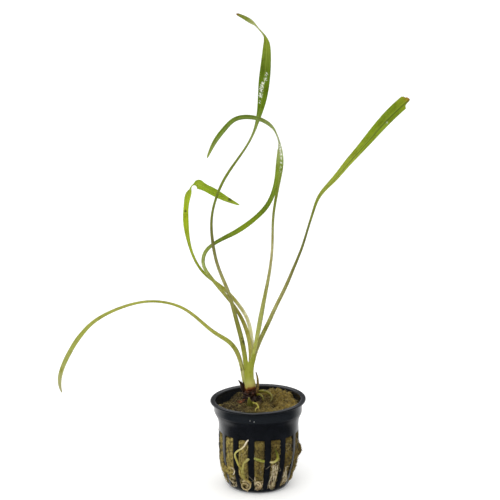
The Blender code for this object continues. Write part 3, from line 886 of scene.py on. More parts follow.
LEAF_STEP = 0.8
TORN_ZONE = 9.0
BLADE_THICKNESS = 0.42
BLADE_KEEL = 0.2
MARGIN_WAVE = 0.16
FULL_WAVE_FROM = 2.5
RIB_SPREAD = 0.42
RIB_HEIGHT = {1: 0.32, -1: 0.1}
ACROSS = [-1.0, -0.95, -0.84, -0.66, -0.45, -0.26, -0.12, 0.0, 0.12, 0.26, 0.45, 0.66, 0.84, 0.95, 1.0]
FROM_FRONT = (0.0, 1.0, 0.0)


def unit(vectors):
    return vectors / np.linalg.norm(vectors, axis=-1, keepdims=True)


def reached(place, spots):
    """How much of some soft round spots, each by x, z and radius, is at a place."""
    return sum(bump(place[0], place[2], x, z, size) for x, z, size in spots)


def strip(
    name, rows, finish, facing=FROM_FRONT, blade_from=0, thickness=BLADE_THICKNESS, keel=BLADE_KEEL,
    point=1.2, torn=None, marks=(), painted_glints=(),
):
    """A ribbon of plant tissue along rows, round up to the row where its blade begins.

    The keel is how far its edges stand forward, as a share of half its width; below zero they wrap
    round backwards. The point is the length over which its tip closes. A torn tip is the length
    missing from it at places across it. Marks are dark spots, and painted glints are pale specks
    painted on as highlights of a wet shine, both by x, z and radius.
    """
    swept, steps = smooth_rows([(*row, 0)[:5] for row in rows], 12)
    path = swept[:, :3]
    walked = walked_along(path)
    length = walked[-1]
    along = unit(np.gradient(path, axis=0))
    across = unit(np.cross(np.array(facing), along))
    face = np.cross(along, across)
    angle = np.radians(swept[:, 4])[:, None]
    cosine, sine = np.cos(angle), np.sin(angle)
    across, face = across * cosine + face * sine, face * cosine - across * sine
    flat = eased(np.clip((steps - blade_from + 1.5) / 3, 0, 1))
    if blade_from == 0:
        flat[:] = 1.0
    width = np.maximum(swept[:, 3], 0.3)

    stations = np.arange(0.0, length - point, LEAF_STEP)
    closing = length - point * (1 - np.sin(np.linspace(0, math.pi / 2, 8)))
    stations = np.concatenate([stations, closing])

    def at(values, where):
        if values.ndim == 1:
            return np.interp(where, walked, values)
        return np.stack([np.interp(where, walked, values[:, k]) for k in range(values.shape[1])], -1)

    columns = ACROSS if torn is None else sorted(set(ACROSS) | {s for s, _ in torn})
    bm = bmesh.new()
    share_layer = bm.verts.layers.float.new("along_share")
    side_layer = bm.verts.layers.float.new("across_share")
    mark_layer = bm.verts.layers.float.new("mark")
    painted_glint_layer = bm.verts.layers.float.new("painted_glint")
    uv_place = {}
    sides = {1: [], -1: []}
    for s in columns:
        missing = 0.0 if torn is None else float(np.interp(s, [a for a, _ in torn], [b for _, b in torn]))
        into = np.clip((stations - (length - TORN_ZONE)) / TORN_ZONE, 0, 1)
        where = stations - into * missing
        here_flat = at(flat, where)
        half = at(width, where) / 2
        if torn is None:
            closed = np.sqrt(np.clip(1 - ((stations - (length - point)).clip(0) / point) ** 2, 0.0004, 1))
            half = half * closed
        drift = at(path, where)
        out = unit(at(across, where))
        up = unit(at(face, where))
        stalk_half = half * 0.96
        stalk_rise = np.sqrt(max(1 - s * s, 0.0)) * half * 0.9
        middle = np.exp(-((s * half / RIB_SPREAD) ** 2))
        phase = where / 2.9 + 1.7 * np.sin(where / 11.0) + (1.3 if s > 0 else 0.0)
        wave = MARGIN_WAVE * abs(s) ** 3 * np.sin(phase) * np.minimum(half / FULL_WAVE_FROM, 1.0)
        for side in (1, -1):
            stalk = side * stalk_rise + (0.12 * half * np.exp(-((s / 0.35) ** 2)) if side < 0 else 0.0)
            thin = np.minimum(thickness, half) * (0.5 - 0.32 * abs(s) ** 1.5)
            fold = keel * half * (abs(s) if keel > 0 else s * s)
            blade = side * thin - fold + RIB_HEIGHT[side] * middle + wave
            if abs(s) == 1.0:
                stalk = np.zeros_like(half)
                blade = -fold + wave
            lift = (1 - here_flat) * stalk + here_flat * blade
            reach = s * ((1 - here_flat) * stalk_half + here_flat * half)
            places = drift + out * reach[:, None] + up * lift[:, None]
            if abs(s) == 1.0 and side < 0:
                sides[side].append(sides[1][-1])
                continue
            line = []
            for place, run, aside in zip(places, where, reach):
                vert = bm.verts.new(place * MM)
                vert[share_layer] = run / length
                vert[side_layer] = s
                vert[mark_layer] = reached(place, marks)
                vert[painted_glint_layer] = min(reached(place, painted_glints), 1.0)
                uv_place[vert] = (aside * MM, run * MM)
                line.append(vert)
            sides[side].append(line)
    for side in (1, -1):
        for left, right_line in zip(sides[side], sides[side][1:]):
            for k in range(len(stations) - 1):
                bm.faces.new((left[k], right_line[k], right_line[k + 1], left[k + 1])[::side])
    for end in (0, -1):
        for k in range(len(columns) - 1):
            corners = [sides[1][k][end], sides[1][k + 1][end], sides[-1][k + 1][end], sides[-1][k][end]]
            bm.faces.new(list(dict.fromkeys(corners)))
    strip_map = bm.loops.layers.uv.new("strip")
    for face_made in bm.faces:
        for loop in face_made.loops:
            loop[strip_map].uv = uv_place[loop.vert]
    mesh = smooth_mesh(bm, name)
    mesh.materials.append(finish)
    return as_object(name, mesh)


def leaf_tissue(name, lengthwise, vein=1.0, gloss=0.34, brown_foot=4.5, midrib=(0.0, 0.13, "b8c658", 0.22)):
    """Fresh leaf: smooth and wet-looking, with a midrib, long fine veins and small blemishes.

    Lengthwise are its colours from the foot to the tip, and the midrib is its place across the
    blade, how far it fades out, its colour and how much of that shows. The foot itself is a pale
    sheath, brown for some millimetres where it sits on the rootstock. Pale specks are painted on
    where the painted glint spots lie, as painted highlights of a wet shine.
    """
    made, tree, shader, place = surface(
        name, IOR=1.35, Specular_IOR_Level=0.36, Coat_Weight=0.04, Coat_Roughness=0.2,
        Subsurface_Weight=0.12, Subsurface_Radius=(0.6, 1.0, 0.2), Subsurface_Scale=0.5 * MM,
    )
    share = add(tree, "ShaderNodeAttribute", attribute_name="along_share").outputs["Fac"]
    side = add(tree, "ShaderNodeAttribute", attribute_name="across_share").outputs["Fac"]
    run = add(tree, "ShaderNodeUVMap", uv_map="strip").outputs[0]
    base = add(tree, "ShaderNodeValToRGB", {"Fac": share}, stops=lengthwise)
    stretched = add(tree, "ShaderNodeMapping", {"Vector": run, "Scale": (1.0, 0.03, 1.0)})
    fibre = add(
        tree, "ShaderNodeTexNoise",
        {"Vector": stretched, "Scale": 1 / (0.42 * MM), "Detail": 3.0, "Roughness": 0.6},
    )
    veined = shaded(tree, base, fibre, 0.75 * vein, {0.3: "b5b886", 0.5: "f5f5e2", 0.7: "ffffff"})
    cloud = add(
        tree, "ShaderNodeTexNoise", {"Vector": place, "Scale": 1 / (5 * MM), "Detail": 4.0, "Roughness": 0.6}
    )
    mottled = shaded(tree, veined, cloud, 0.8, {0.33: "dad59a", 0.5: "ffffff", 0.7: "f2f5c4"})
    rib_place, rib_fade, rib_colour, rib_share = midrib
    beside = add(tree, "ShaderNodeMath", {0: side, 1: rib_place}, operation="SUBTRACT")
    from_middle = add(tree, "ShaderNodeMath", {0: beside}, operation="ABSOLUTE")
    rib = add(
        tree, "ShaderNodeMapRange",
        {"Value": from_middle, "From Max": rib_fade, "To Min": rib_share * vein, "To Max": 0.0},
    )
    ribbed = add(tree, "ShaderNodeMix", {"Factor": rib, "A": mottled, "B": rib_colour}, data_type="RGBA")
    speck = add(tree, "ShaderNodeTexNoise", {"Vector": place, "Scale": 1 / (1.1 * MM), "Detail": 2.0})
    blemished = spotted(tree, ribbed, "5a4a22", speck, 0.68, 0.76, 0.35)
    mark = add(tree, "ShaderNodeAttribute", attribute_name="mark").outputs["Fac"]
    bruised = spotted(tree, blemished, "2c2a14", mark, 0.35, 0.8, 0.75)
    # Painted highlights: pale specks where the glint spots lie stand for the glints of a wet shine
    painted_glint = add(tree, "ShaderNodeAttribute", attribute_name="painted_glint").outputs["Fac"]
    fleck = add(
        tree, "ShaderNodeTexNoise",
        {"Vector": place, "Scale": 1 / (0.7 * MM), "Detail": 3.0, "Roughness": 0.7},
    )
    painted_glint_specks = add(tree, "ShaderNodeMath", {0: painted_glint, 1: 0.4, 2: fleck}, operation="MULTIPLY_ADD")
    with_painted_glints = spotted(tree, bruised, "f2f4e6", painted_glint_specks, 0.84, 0.95, 0.9)
    walked = add(tree, "ShaderNodeSeparateXYZ", {"Vector": run}).outputs["Y"]
    foot = add(
        tree, "ShaderNodeMapRange",
        {"Value": walked, "From Min": (brown_foot - 1) * MM, "From Max": (brown_foot + 9) * MM},
    )
    sheath = add(
        tree, "ShaderNodeValToRGB", {"Fac": foot},
        stops={0.0: "5a2c1c", 0.1: "8c5c2a", 0.2: "c4b864", 0.4: "c6c46c", 0.8: "b0b650"},
    )
    green = add(tree, "ShaderNodeMapRange", {"Value": foot, "From Min": 0.45, "From Max": 1.0})
    whole = add(tree, "ShaderNodeMix", {"Factor": green, "A": sheath, "B": with_painted_glints}, data_type="RGBA")
    wet = add(
        tree, "ShaderNodeMapRange",
        {"Value": cloud, "From Min": 0.3, "From Max": 0.7, "To Min": gloss, "To Max": gloss + 0.16},
    )
    relief = add(tree, "ShaderNodeBump", {"Height": fibre, "Strength": 0.5 * vein, "Distance": 0.12 * MM})
    feed(shader, {"Base Color": whole, "Roughness": wet, "Normal": relief})
    return made


# The drooping leaf: low, arching over to the left and hanging almost to the table
drooping_rows = [
    (-5.6, 4, 52.5, 3.2), (-6.6, 3.8, 57, 3.3), (-8.1, 3.6, 63, 2.7), (-9.2, 3.4, 68.5, 2.4),
    (-11.5, 3, 77, 2.7), (-15.7, 1.5, 84, 2.7), (-24, -1, 90.5, 2.3), (-32.5, -4, 98.5, 2),
    (-43, -8, 107.5, 1.7), (-53.5, -11, 111.5, 1.5), (-63, -14, 112.5, 1.5), (-78, -18, 109.5, 1.7, 10),
    (-92.5, -22, 102, 2.2, 25), (-102, -26, 91, 3, 35), (-108, -29, 79.5, 3.2, 40),
    (-110, -31, 70.5, 2.8, 40), (-109, -32, 65, 1, 40),
]
drooping_tissue = leaf_tissue(
    "leaf tissue, yellowing",
    {
        0.05: "bcba66", 0.1: "c6c280", 0.17: "a4a650", 0.4: "aeae58", 0.5: "9da042", 0.6: "aaac54",
        0.8: "9ba047", 0.93: "a8ab6b", 1: "b0ab8c",
    },
    vein=0.8,
)
drooping_leaf = strip(
    "drooping_leaf", drooping_rows, drooping_tissue, blade_from=11, point=2.5,
    marks=[(-8.9, 68.4, 0.7), (-9.3, 67.8, 0.6)],
)
belongs(drooping_leaf, "leaf", "leaf_drooping")

# The tall leaf: the highest, with a wide glossy blade and a tip that twists over to the left
tall_rows = [
    (-5, 2.8, 52.5, 3.2), (-5.7, 2.1, 57, 3.4), (-6.3, 1.6, 64.5, 3.1), (-7.2, 1, 73.5, 2.8),
    (-9.2, -0.5, 86, 2.9), (-12.5, -2.5, 99.5, 2.5), (-17, -4, 116, 2.2), (-22.5, -5, 130.5, 1.9),
    (-25.5, -5.5, 145, 1.8), (-26, -4, 158, 1.5), (-23.5, -1, 169, 1.5), (-19, 2, 179, 1.6),
    (-9, 5, 193.5, 1.3), (-3, 8, 203.5, 1.4), (0, 10, 212.5, 2.6, 10), (2, 11, 222, 4.9, 5),
    (3.5, 12, 234.5, 6.2), (4.5, 11, 246.5, 5.2), (4.5, 10, 253.5, 3.9, 10), (2.9, 9.1, 258.9, 2, 70),
    (0.3, 8, 262.4, 0.9, 82), (-3.6, 6.3, 266, 2.3, 28), (-7.5, 4.8, 268.6, 2.2, 15), (-12, 2, 271, 1.3, 10),
]
# The pale stop near the tip, where the blade twists, is partly its paler underside and partly a painted
# highlight
tall_tissue = leaf_tissue(
    "leaf tissue, deep green",
    {
        0.05: "b0b544", 0.14: "8d8f42", 0.2: "83833c", 0.3: "a19c6b", 0.4: "6e6d3c", 0.5: "74832e",
        0.62: "76832c", 0.68: "8f9c5c", 0.74: "66810e", 0.82: "60790a", 0.9: "8c9c34", 0.95: "b4ba84",
        0.97: "86943e", 0.99: "808838", 1: "8c5e34",
    },
    gloss=0.26,
)
tall_marks = [(-8.5, 86, 0.7), (-7.9, 84.4, 0.45), (-9.5, 88, 0.4)]
# Painted highlights of the blade's wet shine: x, z and radius
tall_painted_glints = [
    (4.6, 237, 1.1), (4, 234, 1.2), (2.4, 231, 1.3), (1.4, 228, 1.5), (1.2, 224.6, 1.4), (0.6, 221, 1),
]
tall_leaf = strip(
    "tall_leaf", tall_rows, tall_tissue, blade_from=13, marks=tall_marks, painted_glints=tall_painted_glints
)
belongs(tall_leaf, "leaf", "leaf_tall")

# The arched leaf: swings out to the left and comes back up to the right to a fine point
arched_rows = [
    (-5.4, 5.4, 52.5, 3.2), (-5.2, 5.7, 57, 3.2), (-4.7, 5.5, 64, 2.6), (-4.3, 5.2, 72, 2.3),
    (-4.9, 4.8, 83.5, 2.4), (-7.7, 4.2, 94, 2.4), (-13, 3, 104.5, 2), (-20, 2, 114, 2.1),
    (-27, 1.5, 123, 2.1), (-31, 1, 131, 2.1), (-30, 1, 137, 2.2), (-25, 0, 142.5, 2.1),
    (-12.5, -2.5, 150, 3, 10), (-4.5, -4.5, 156, 2.9, 10), (3.5, -6.5, 164, 2.8, 10), (8, -8, 172.5, 2.6, 10),
    (10, -9, 182.5, 2.2, 15), (10.5, -10, 191.5, 1.6, 20), (11, -10, 198.5, 0.8, 20),
]
arched_tissue = leaf_tissue(
    "leaf tissue, mid green",
    {
        0.06: "b7bb56", 0.13: "d8d07e", 0.19: "c2bd69", 0.28: "8c8538", 0.36: "aaa75e", 0.42: "9da04e",
        0.5: "a2b070", 0.55: "8b984a", 0.6: "6e8522", 0.7: "829806", 0.8: "657d02", 0.93: "869c2c",
        1: "a3ac78",
    },
)
belongs(strip("arched_leaf", arched_rows, arched_tissue, blade_from=11, point=2), "leaf", "leaf_arched")

# The folded leaf: rises on the left, and its last third is folded over to the right
folded_rows = [
    (-4.4, 5.3, 52.5, 3.2), (-3.9, 5.9, 57, 3.3), (-3.8, 6.2, 64, 2.8), (-3.3, 6.6, 72.5, 2.2),
    (-3.7, 7.2, 85.5, 2.3), (-6.1, 7.6, 96.5, 2.2), (-12.2, 7.6, 106.5, 2.2), (-20.5, 7.5, 115.5, 1.9),
    (-30, 7.5, 123, 1.7), (-36, 8.5, 131.5, 1.5), (-39.5, 10, 142, 2), (-41, 11, 153.5, 3.2),
    (-40.5, 12, 164, 3.1), (-38.8, 12, 170.5, 2.5, 22), (-36.8, 11.2, 173.9, 1.3, 78),
    (-34.7, 10.6, 174.8, 4.7, 10), (-31.5, 10, 173.8, 4.9, 5), (-26, 9, 171, 4.4), (-18.5, 8, 167, 3.3),
    (-10.5, 6, 163.5, 0.8),
]
# Its pale cream stretch low on the stalk is partly its own pale colour and partly a painted highlight,
# lightened against the shade of the leaves in front
folded_tissue = leaf_tissue(
    "leaf tissue, young yellow-green",
    {
        0.06: "b9c065", 0.13: "ddd6a2", 0.2: "f2eed4", 0.28: "ece8cc", 0.35: "aba75c", 0.42: "a3a445",
        0.5: "929d34", 0.6: "9cab34", 0.7: "a6ba18", 0.8: "a3b932", 0.9: "8ca40e", 1: "a0b234",
    },
)
folded_marks = [(-15.9, 166.4, 0.9), (-41.2, 159, 0.7)]
folded_leaf = strip("folded_leaf", folded_rows, folded_tissue, blade_from=9, point=1.6, marks=folded_marks)
belongs(folded_leaf, "leaf", "leaf_folded")

# The looped leaf: goes up on the right, loops over the top to the left and comes down to a point
looped_rows = [
    (-4.2, 3, 52.5, 3.2), (-4, 2.3, 57, 3.2), (-4.3, 2.2, 63.5, 2.8), (-3.9, 2, 71, 2.5),
    (-1.5, 1.5, 83, 2.3), (0.7, 0.5, 95, 2.8), (3.3, 0, 109.5, 2.4), (6.5, -0.5, 127, 1.8), (8, -1, 143, 1.5),
    (8.5, -1, 159, 1.5), (10, 0, 169.5, 1.7), (11.5, 1, 179.5, 2.6), (12.5, 1, 189, 3.2),
    (12, 1, 196, 2.7, 20), (11, 0, 202.5, 1.5, 75), (7, -1, 209.5, 2.2, 40), (3, -2, 212.5, 2.3, 25),
    (-7, -4, 215, 2.5, 15), (-13, -6.5, 214, 2.5, 10), (-18, -10, 210, 2.6, 10), (-24, -14, 202.5, 2.4, 10),
    (-28, -18, 194.5, 0.9, 10),
]
# The pale stop where the blade twists edge-on is a painted highlight
looped_tissue = leaf_tissue(
    "leaf tissue, grey green",
    {
        0.05: "b9c161", 0.15: "b5b963", 0.22: "a8ac66", 0.3: "9a9958", 0.42: "b5af86", 0.52: "828a42",
        0.6: "828f34", 0.66: "90a656", 0.7: "b2ba98", 0.75: "94a168", 0.82: "687c2a", 0.93: "6a8220",
        1: "8c9844",
    },
    gloss=0.28,
)
# Painted highlights along the pale middle of the blade: x, z and radius
looped_painted_glints = [
    (11.7, 198.6, 0.9), (12.3, 196.2, 0.9), (12.6, 193.6, 0.9), (12.8, 191.2, 0.9), (12.7, 188.6, 0.9),
    (12.5, 186, 0.9), (12.3, 183.4, 0.8),
]
looped_leaf = strip(
    "looped_leaf", looped_rows, looped_tissue, blade_from=10, point=1.8, painted_glints=looped_painted_glints
)
belongs(looped_leaf, "leaf", "leaf_looped")

# The torn leaf: leans to the upper right and widens into a blade whose end is torn away
torn_rows = [
    (-3.8, 4.1, 52.5, 3.2), (-3.3, 4.2, 57, 3), (-3.8, 4.3, 64.5, 2.6), (-2.9, 4.5, 72.5, 2.6),
    (0.6, 5, 83.5, 2.6), (6, 6.5, 95, 2.5), (10, 8, 103.5, 2.3), (15.5, 10, 114.5, 2.2), (20.5, 12, 126, 1.8),
    (25, 14, 137, 1.5), (28.5, 16, 148, 1.4), (31.5, 18, 157.5, 1.5), (35, 20, 166, 2), (42.5, 22, 174.5, 3),
    (51.3, 25, 184.5, 4), (60.1, 28, 194, 5.1), (67.8, 31, 202.6, 6.2), (75.8, 34, 210.8, 7),
    (86.5, 37.5, 220, 7),
]
TORN_RIB = 0.3
torn_tissue = leaf_tissue(
    "leaf tissue, fresh green",
    {
        0.05: "bcbf67", 0.1: "ccc48e", 0.2: "9a9c50", 0.28: "b4b07c", 0.36: "938f5a", 0.43: "7a7a42",
        0.5: "6f743a", 0.6: "939f40", 0.68: "a0ab42", 0.75: "98a834", 0.85: "849a1e", 0.95: "7c9218",
        0.985: "8c981e", 1: "b0702a",
    },
    midrib=(TORN_RIB, 0.16, "3c4c04", 0.8),
)
TORN_EDGE = [
    (-1, 3.2), (-0.75, 2), (-0.4, 1.5), (-0.3, 0.6), (0.25, 0), (0.42, 0.8), (0.5, 3.2), (0.6, 4.5), (1, 5.5),
]
# Its one spot of painted glints is a painted highlight near the torn end
torn_leaf = strip(
    "torn_leaf", torn_rows, torn_tissue, blade_from=11, point=0.4, torn=TORN_EDGE,
    painted_glints=[(74, 206.4, 1)],
)
belongs(torn_leaf, "leaf", "leaf_torn")

# The sheaths: the broad pale feet of the two front stalks, thin leaf tissue that wraps the stalks
# behind and makes one smooth column of them above the rootstock.

SHEATH_THICKNESS = 0.25
HUGGING = -0.5

column_rows = [
    (-4.4, 0.5, 56, 6.8), (-4.8, 0.35, 59.5, 6), (-5.2, 0.2, 64, 5.6), (-5.3, 0.1, 68.5, 5.7),
    (-5.2, 0, 73, 7), (-4.6, 0, 78.5, 9),
]
NOTCH = [
    (-1, 4), (-0.75, 0.5), (-0.5, 0.5), (-0.2, 4.4), (0, 6), (0.15, 4.4), (0.4, 0.5), (0.75, 0.5), (1, 4),
]
side_rows = [
    (-7.4, 2.6, 56, 3.2, -30), (-7.9, 2.5, 60, 3, -30), (-8.6, 2.3, 65, 2.4, -30),
    (-9.2, 2.2, 69.5, 1.6, -30),
]
flared_rows = [
    (-1.8, 2.2, 56, 2.6, 35), (-1.7, 2.1, 58.5, 2.2, 40), (-1.9, 2.2, 60.6, 1.4, 40),
    (-2.1, 2.4, 62.4, 0.6, 35),
]
column_tissue = leaf_tissue(
    "leaf sheath, yellow-green", {0: "b6b850", 0.5: "aab044", 1: "a0a63c"}, vein=0.8, gloss=0.36,
    brown_foot=1.6,
)
cream_tissue = leaf_tissue(
    "leaf sheath, cream", {0: "cfcc96", 0.6: "d6d4a4", 1: "c2c278"}, vein=0.7, gloss=0.36, brown_foot=1
)
for name, rows, tissue, edge in (
    ("column_sheath", column_rows, column_tissue, NOTCH),
    ("side_sheath", side_rows, cream_tissue, None),
    ("flared_sheath", flared_rows, cream_tissue, None),
):
    sheath = strip(name, rows, tissue, thickness=SHEATH_THICKNESS, keel=HUGGING, point=3, torn=edge)
    belongs(sheath, "leaf")

# The withered remains: a dry strip that stands up on the right, the dark torn base of a lost leaf
# on the left and a rust-coloured scrap in front. Brown, papery, their ends frayed into points.

FROM_ABOVE = (0.0, 0.0, 1.0)
FRAYED = [
    (-1, 0.2), (-0.85, 1.9), (-0.6, 0.5), (-0.35, 2.4), (-0.1, 1.2), (0.15, 0), (0.4, 1.7), (0.7, 0.3),
    (1, 1.4),
]


def joined(name, pieces):
    """Several loose scraps made one mesh."""
    with bpy.context.temp_override(
        active_object=pieces[0], selected_objects=pieces, selected_editable_objects=pieces
    ):
        bpy.ops.object.join()
    pieces[0].name = name
    pieces[0].data.name = name
    return pieces[0]


def withered_tissue(name, lengthwise):
    """Dead leaf, dried papery: matt, wrinkled lengthwise, brown with darker rot and paler fibres."""
    made, tree, shader, place = surface(name, Roughness=0.75, Specular_IOR_Level=0.3)
    share = add(tree, "ShaderNodeAttribute", attribute_name="along_share").outputs["Fac"]
    run = add(tree, "ShaderNodeUVMap", uv_map="strip").outputs[0]
    base = add(tree, "ShaderNodeValToRGB", {"Fac": share}, stops=lengthwise)
    drawn = add(tree, "ShaderNodeMapping", {"Vector": run, "Scale": (1.0, 0.08, 1.0)})
    fibre = add(tree, "ShaderNodeTexNoise", {"Vector": drawn, "Scale": 1 / (0.3 * MM), "Detail": 4.0})
    streaked = shaded(tree, base, fibre, 0.9, {0.32: "6a5a4c", 0.55: "e2d6c4", 0.7: "ffffff"})
    rot = add(tree, "ShaderNodeTexNoise", {"Vector": place, "Scale": 1 / (1.6 * MM), "Detail": 3.0})
    rotten = spotted(tree, streaked, "20140e", rot, 0.52, 0.7)
    relief = add(tree, "ShaderNodeBump", {"Height": fibre, "Strength": 0.7, "Distance": 0.15 * MM})
    feed(shader, {"Base Color": rotten, "Normal": relief})
    return made


dry_tissue = withered_tissue(
    "withered leaf, straw brown", {0: "6a4a24", 0.3: "a89250", 0.8: "a0924e", 0.92: "7a683a", 1: "8a7648"}
)
dry_rows = [
    (-0.9, 1, 53.6, 1.6, 20), (-0.4, 0.9, 57, 1.6, 12), (-0.1, 1.2, 60.5, 1.4), (-0.3, 1.8, 63.8, 1.1, -15),
    (-1.3, 2.4, 66.8, 0.5, -30),
]
dried_strip = strip("dried_strip", dry_rows, dry_tissue, thickness=0.22, keel=0.6, point=0.8)
belongs(dried_strip, "withered_leaf", "dry_sheath")

dark_tissue = withered_tissue(
    "withered leaf, nearly black", {0: "321f16", 0.6: "432e22", 0.9: "523d2e", 1: "735c46"}
)
dark_scraps = [
    [
        (-7.9, 3, 55.6, 1.4), (-8.6, 2.6, 57.8, 2, 8), (-9.2, 2.4, 59.8, 2.5, -5), (-9.8, 2.4, 61.4, 2.1, 10),
    ],
    [
        (-8.2, 3.2, 56.4, 1, 40), (-9.4, 2.8, 58.4, 1.3, 50), (-10.4, 2.5, 60.4, 1.2, 30),
        (-11.2, 2.3, 61.9, 0.5),
    ],
    [(-7.4, 3.4, 55.6, 1.2, -30), (-8, 3.3, 58.2, 1.4, -20), (-8.3, 3.2, 60.6, 1.1, -30)],
    [(-8.2, 2, 54.6, 0.9, 10), (-9.4, 1.8, 56.4, 1, 30), (-10.3, 1.8, 57.8, 0.4, 20)],
]
dark_pieces = [
    strip(f"dark_scrap_{k}", rows, dark_tissue, thickness=0.3, keel=0.7, point=0.6, torn=edge)
    for k, (rows, edge) in enumerate(zip(dark_scraps, (FRAYED, None, FRAYED, None)))
]
belongs(joined("withered_base", dark_pieces), "withered_leaf", "withered_leaf_base")

rust_tissue = withered_tissue("withered leaf, rust", {0: "74462a", 0.4: "a05e36", 0.8: "8c5230", 1: "62402a"})
rust_scraps = [
    [
        (-12, -3.2, 50.3, 0.7, 10), (-10.6, -3.6, 50.9, 1.4, -15), (-9.2, -4.2, 50.8, 1.3, 20),
        (-7.9, -4.8, 50.6, 0.7),
    ],
    [(-8.8, -3, 50.6, 0.6, 60), (-7.9, -3.4, 51.8, 0.9, 80), (-7.2, -4.2, 52.2, 0.5, 60)],
    [(-11.2, -4.8, 50, 0.5, -30), (-10.2, -5.2, 50.6, 0.8, 30), (-9.4, -5.9, 50.2, 0.4)],
]


def over_wool(route, clear):
    """The same route, lifted where it would lie in the wool."""
    return [(x, y, max(z, wool_surface(x, y)[0] + clear), *rest) for x, y, z, *rest in route]


rust_pieces = [
    strip(
        f"rust_scrap_{k}", over_wool(rows, 0.3), rust_tissue, facing=FROM_ABOVE, thickness=0.28,
        keel=-0.5, point=0.5,
    )
    for k, rows in enumerate(rust_scraps)
]
belongs(joined("rust_scraps", rust_pieces), "withered_leaf", "rusty_leaf_scrap")

# The small growth: a young leaf and a curled shoot in front of the rootstock, and two runners that
# arch over the wool on its right. Soft fresh tissue, green to olive.

young_tissue = leaf_tissue(
    "leaf tissue, young and dark", {0: "302e04", 0.35: "3e3c06", 0.7: "5c580c", 1: "827e34"}, vein=0.45,
    gloss=0.3, brown_foot=-10,
)
young_rows = [
    (-3.9, -9.2, 47.5, 2.2, 10), (-4.4, -8.8, 49.6, 3.5, 12), (-4.9, -8.2, 51.6, 3, 8),
    (-5.2, -7.6, 53.2, 1.5), (-5.2, -7.1, 54.7, 0.5),
]
young_blade = strip("young_blade", young_rows, young_tissue, thickness=0.5, keel=0.45, point=0.9)
belongs(young_blade, "leaf", "young_leaf")

sprout_skin = plant_skin(
    "shoot skin, yellow-green", {0: "a8a43a", 0.5: "c8c454", 1: "a8a04a"}, rough=0.4, mottle="a09c58"
)
sprout_routes = [
    [
        (-4.9, -7.6, 50.4, 0.34), (-3.7, -7.9, 50.9, 0.44), (-2.1, -8, 51.2, 0.48), (-0.7, -8.6, 50.7, 0.48),
        (0, -10.2, 49.8, 0.46), (-0.2, -12.8, 49.4, 0.42), (-0.9, -15.4, 49.4, 0.36),
        (-1.7, -17.6, 49.4, 0.26),
    ],
    [(-3.2, -8, 50.6, 0.36), (-3, -7.9, 51.5, 0.36), (-2.8, -7.9, 52.2, 0.26)],
]
sprout = stems("curled_sprout", [over_wool(r, 0.4) for r in sprout_routes], sprout_skin, wander=0.2)
belongs(sprout, "shoot", "curled_shoot")

runner_skin = plant_skin(
    "runner skin, olive", {0: "76761c", 0.5: "848026", 1: "686220"}, rough=0.36, mottle="968c4a"
)
arched_route = [
    (-1.2, 3.6, 52.8, 0.9), (0.4, 3.6, 54.2, 0.88), (2.4, 3.3, 54.9, 0.86), (4.8, 2.6, 54.8, 0.82),
    (7, 1.4, 53.8, 0.74), (8.1, 0, 52.4, 0.66), (7.6, -1.6, 51, 0.56), (6.6, -2.6, 49.8, 0.45),
]
short_route = [(-0.8, 1, 53.2, 0.6), (0.6, 0.1, 54, 0.62), (2.4, -1.3, 53.2, 0.56), (3.4, -2.7, 51, 0.45)]
belongs(stems("runner_arched", [arched_route], runner_skin, wander=0.4, sides=12), "shoot", "arched_runner")
belongs(stems("runner_short", [short_route], runner_skin, wander=0.4, sides=12), "shoot", "short_runner")

# The roots and shoots that have grown out through the slots and lie against the pot. Smooth, round
# and waxy, cream where young; each comes out of the wool and goes back into it.


def on_wall(turn, height, lift):
    """A place by its degrees from the front and its height, lifted off the pot's outside."""
    x, y = around(outside_radius(height) + lift, turn)
    return x + lean(height), y, height


def wall_route(keys, thick, thin=None, sink=(1.4, 1.4)):
    """A route along the pot's outside, its ends sunk by some millimetres into the wool."""
    thin = thick if thin is None else thin
    route = []
    for k, (turn, height) in enumerate(keys):
        share = k / (len(keys) - 1)
        size = thick + (thin - thick) * share
        down = sink[0] if k == 0 else sink[1] if k == len(keys) - 1 else 0.0
        route.append((*on_wall(turn, height, 0.85 * size + 0.1 - down), size))
    return route


cream_skin = plant_skin(
    "root skin, cream to yellow", {0: "f6eedd", 0.24: "f2e8cc", 0.36: "d6d28c", 0.6: "c4c068", 1: "aea850"},
    mottle="dccf9c",
)
cream_keys = [
    (-14.4, 34.4), (-16.7, 33.2), (-19.6, 30.9), (-24.6, 28.6), (-31.3, 26.6), (-34.7, 24.5), (-33.6, 22.3),
    (-30.6, 19.7), (-27.6, 17.4), (-25, 14.6),
]
cream = stems("root_cream", [wall_route(cream_keys, 0.42, 0.66)], cream_skin, wander=0.2, sides=12)
belongs(cream, "root", "cream_root")

thin_skin = plant_skin("root skin, straw", {0: "c9bd80", 1: "a89a50"}, mottle="a89868")
thin_keys = [(-15.3, 30.8), (-16.6, 28.4), (-21, 25.7), (-23.7, 24), (-23.3, 21.4), (-23, 18.4)]
fork_keys = [(-21.3, 25.5), (-24.1, 25), (-26.4, 25.4)]
thin_routes = [wall_route(thin_keys, 0.32, 0.24), wall_route(fork_keys, 0.22, 0.16, sink=(0.0, 0.6))]
belongs(stems("root_thin", thin_routes, thin_skin, wander=0.3), "root", "thin_root")

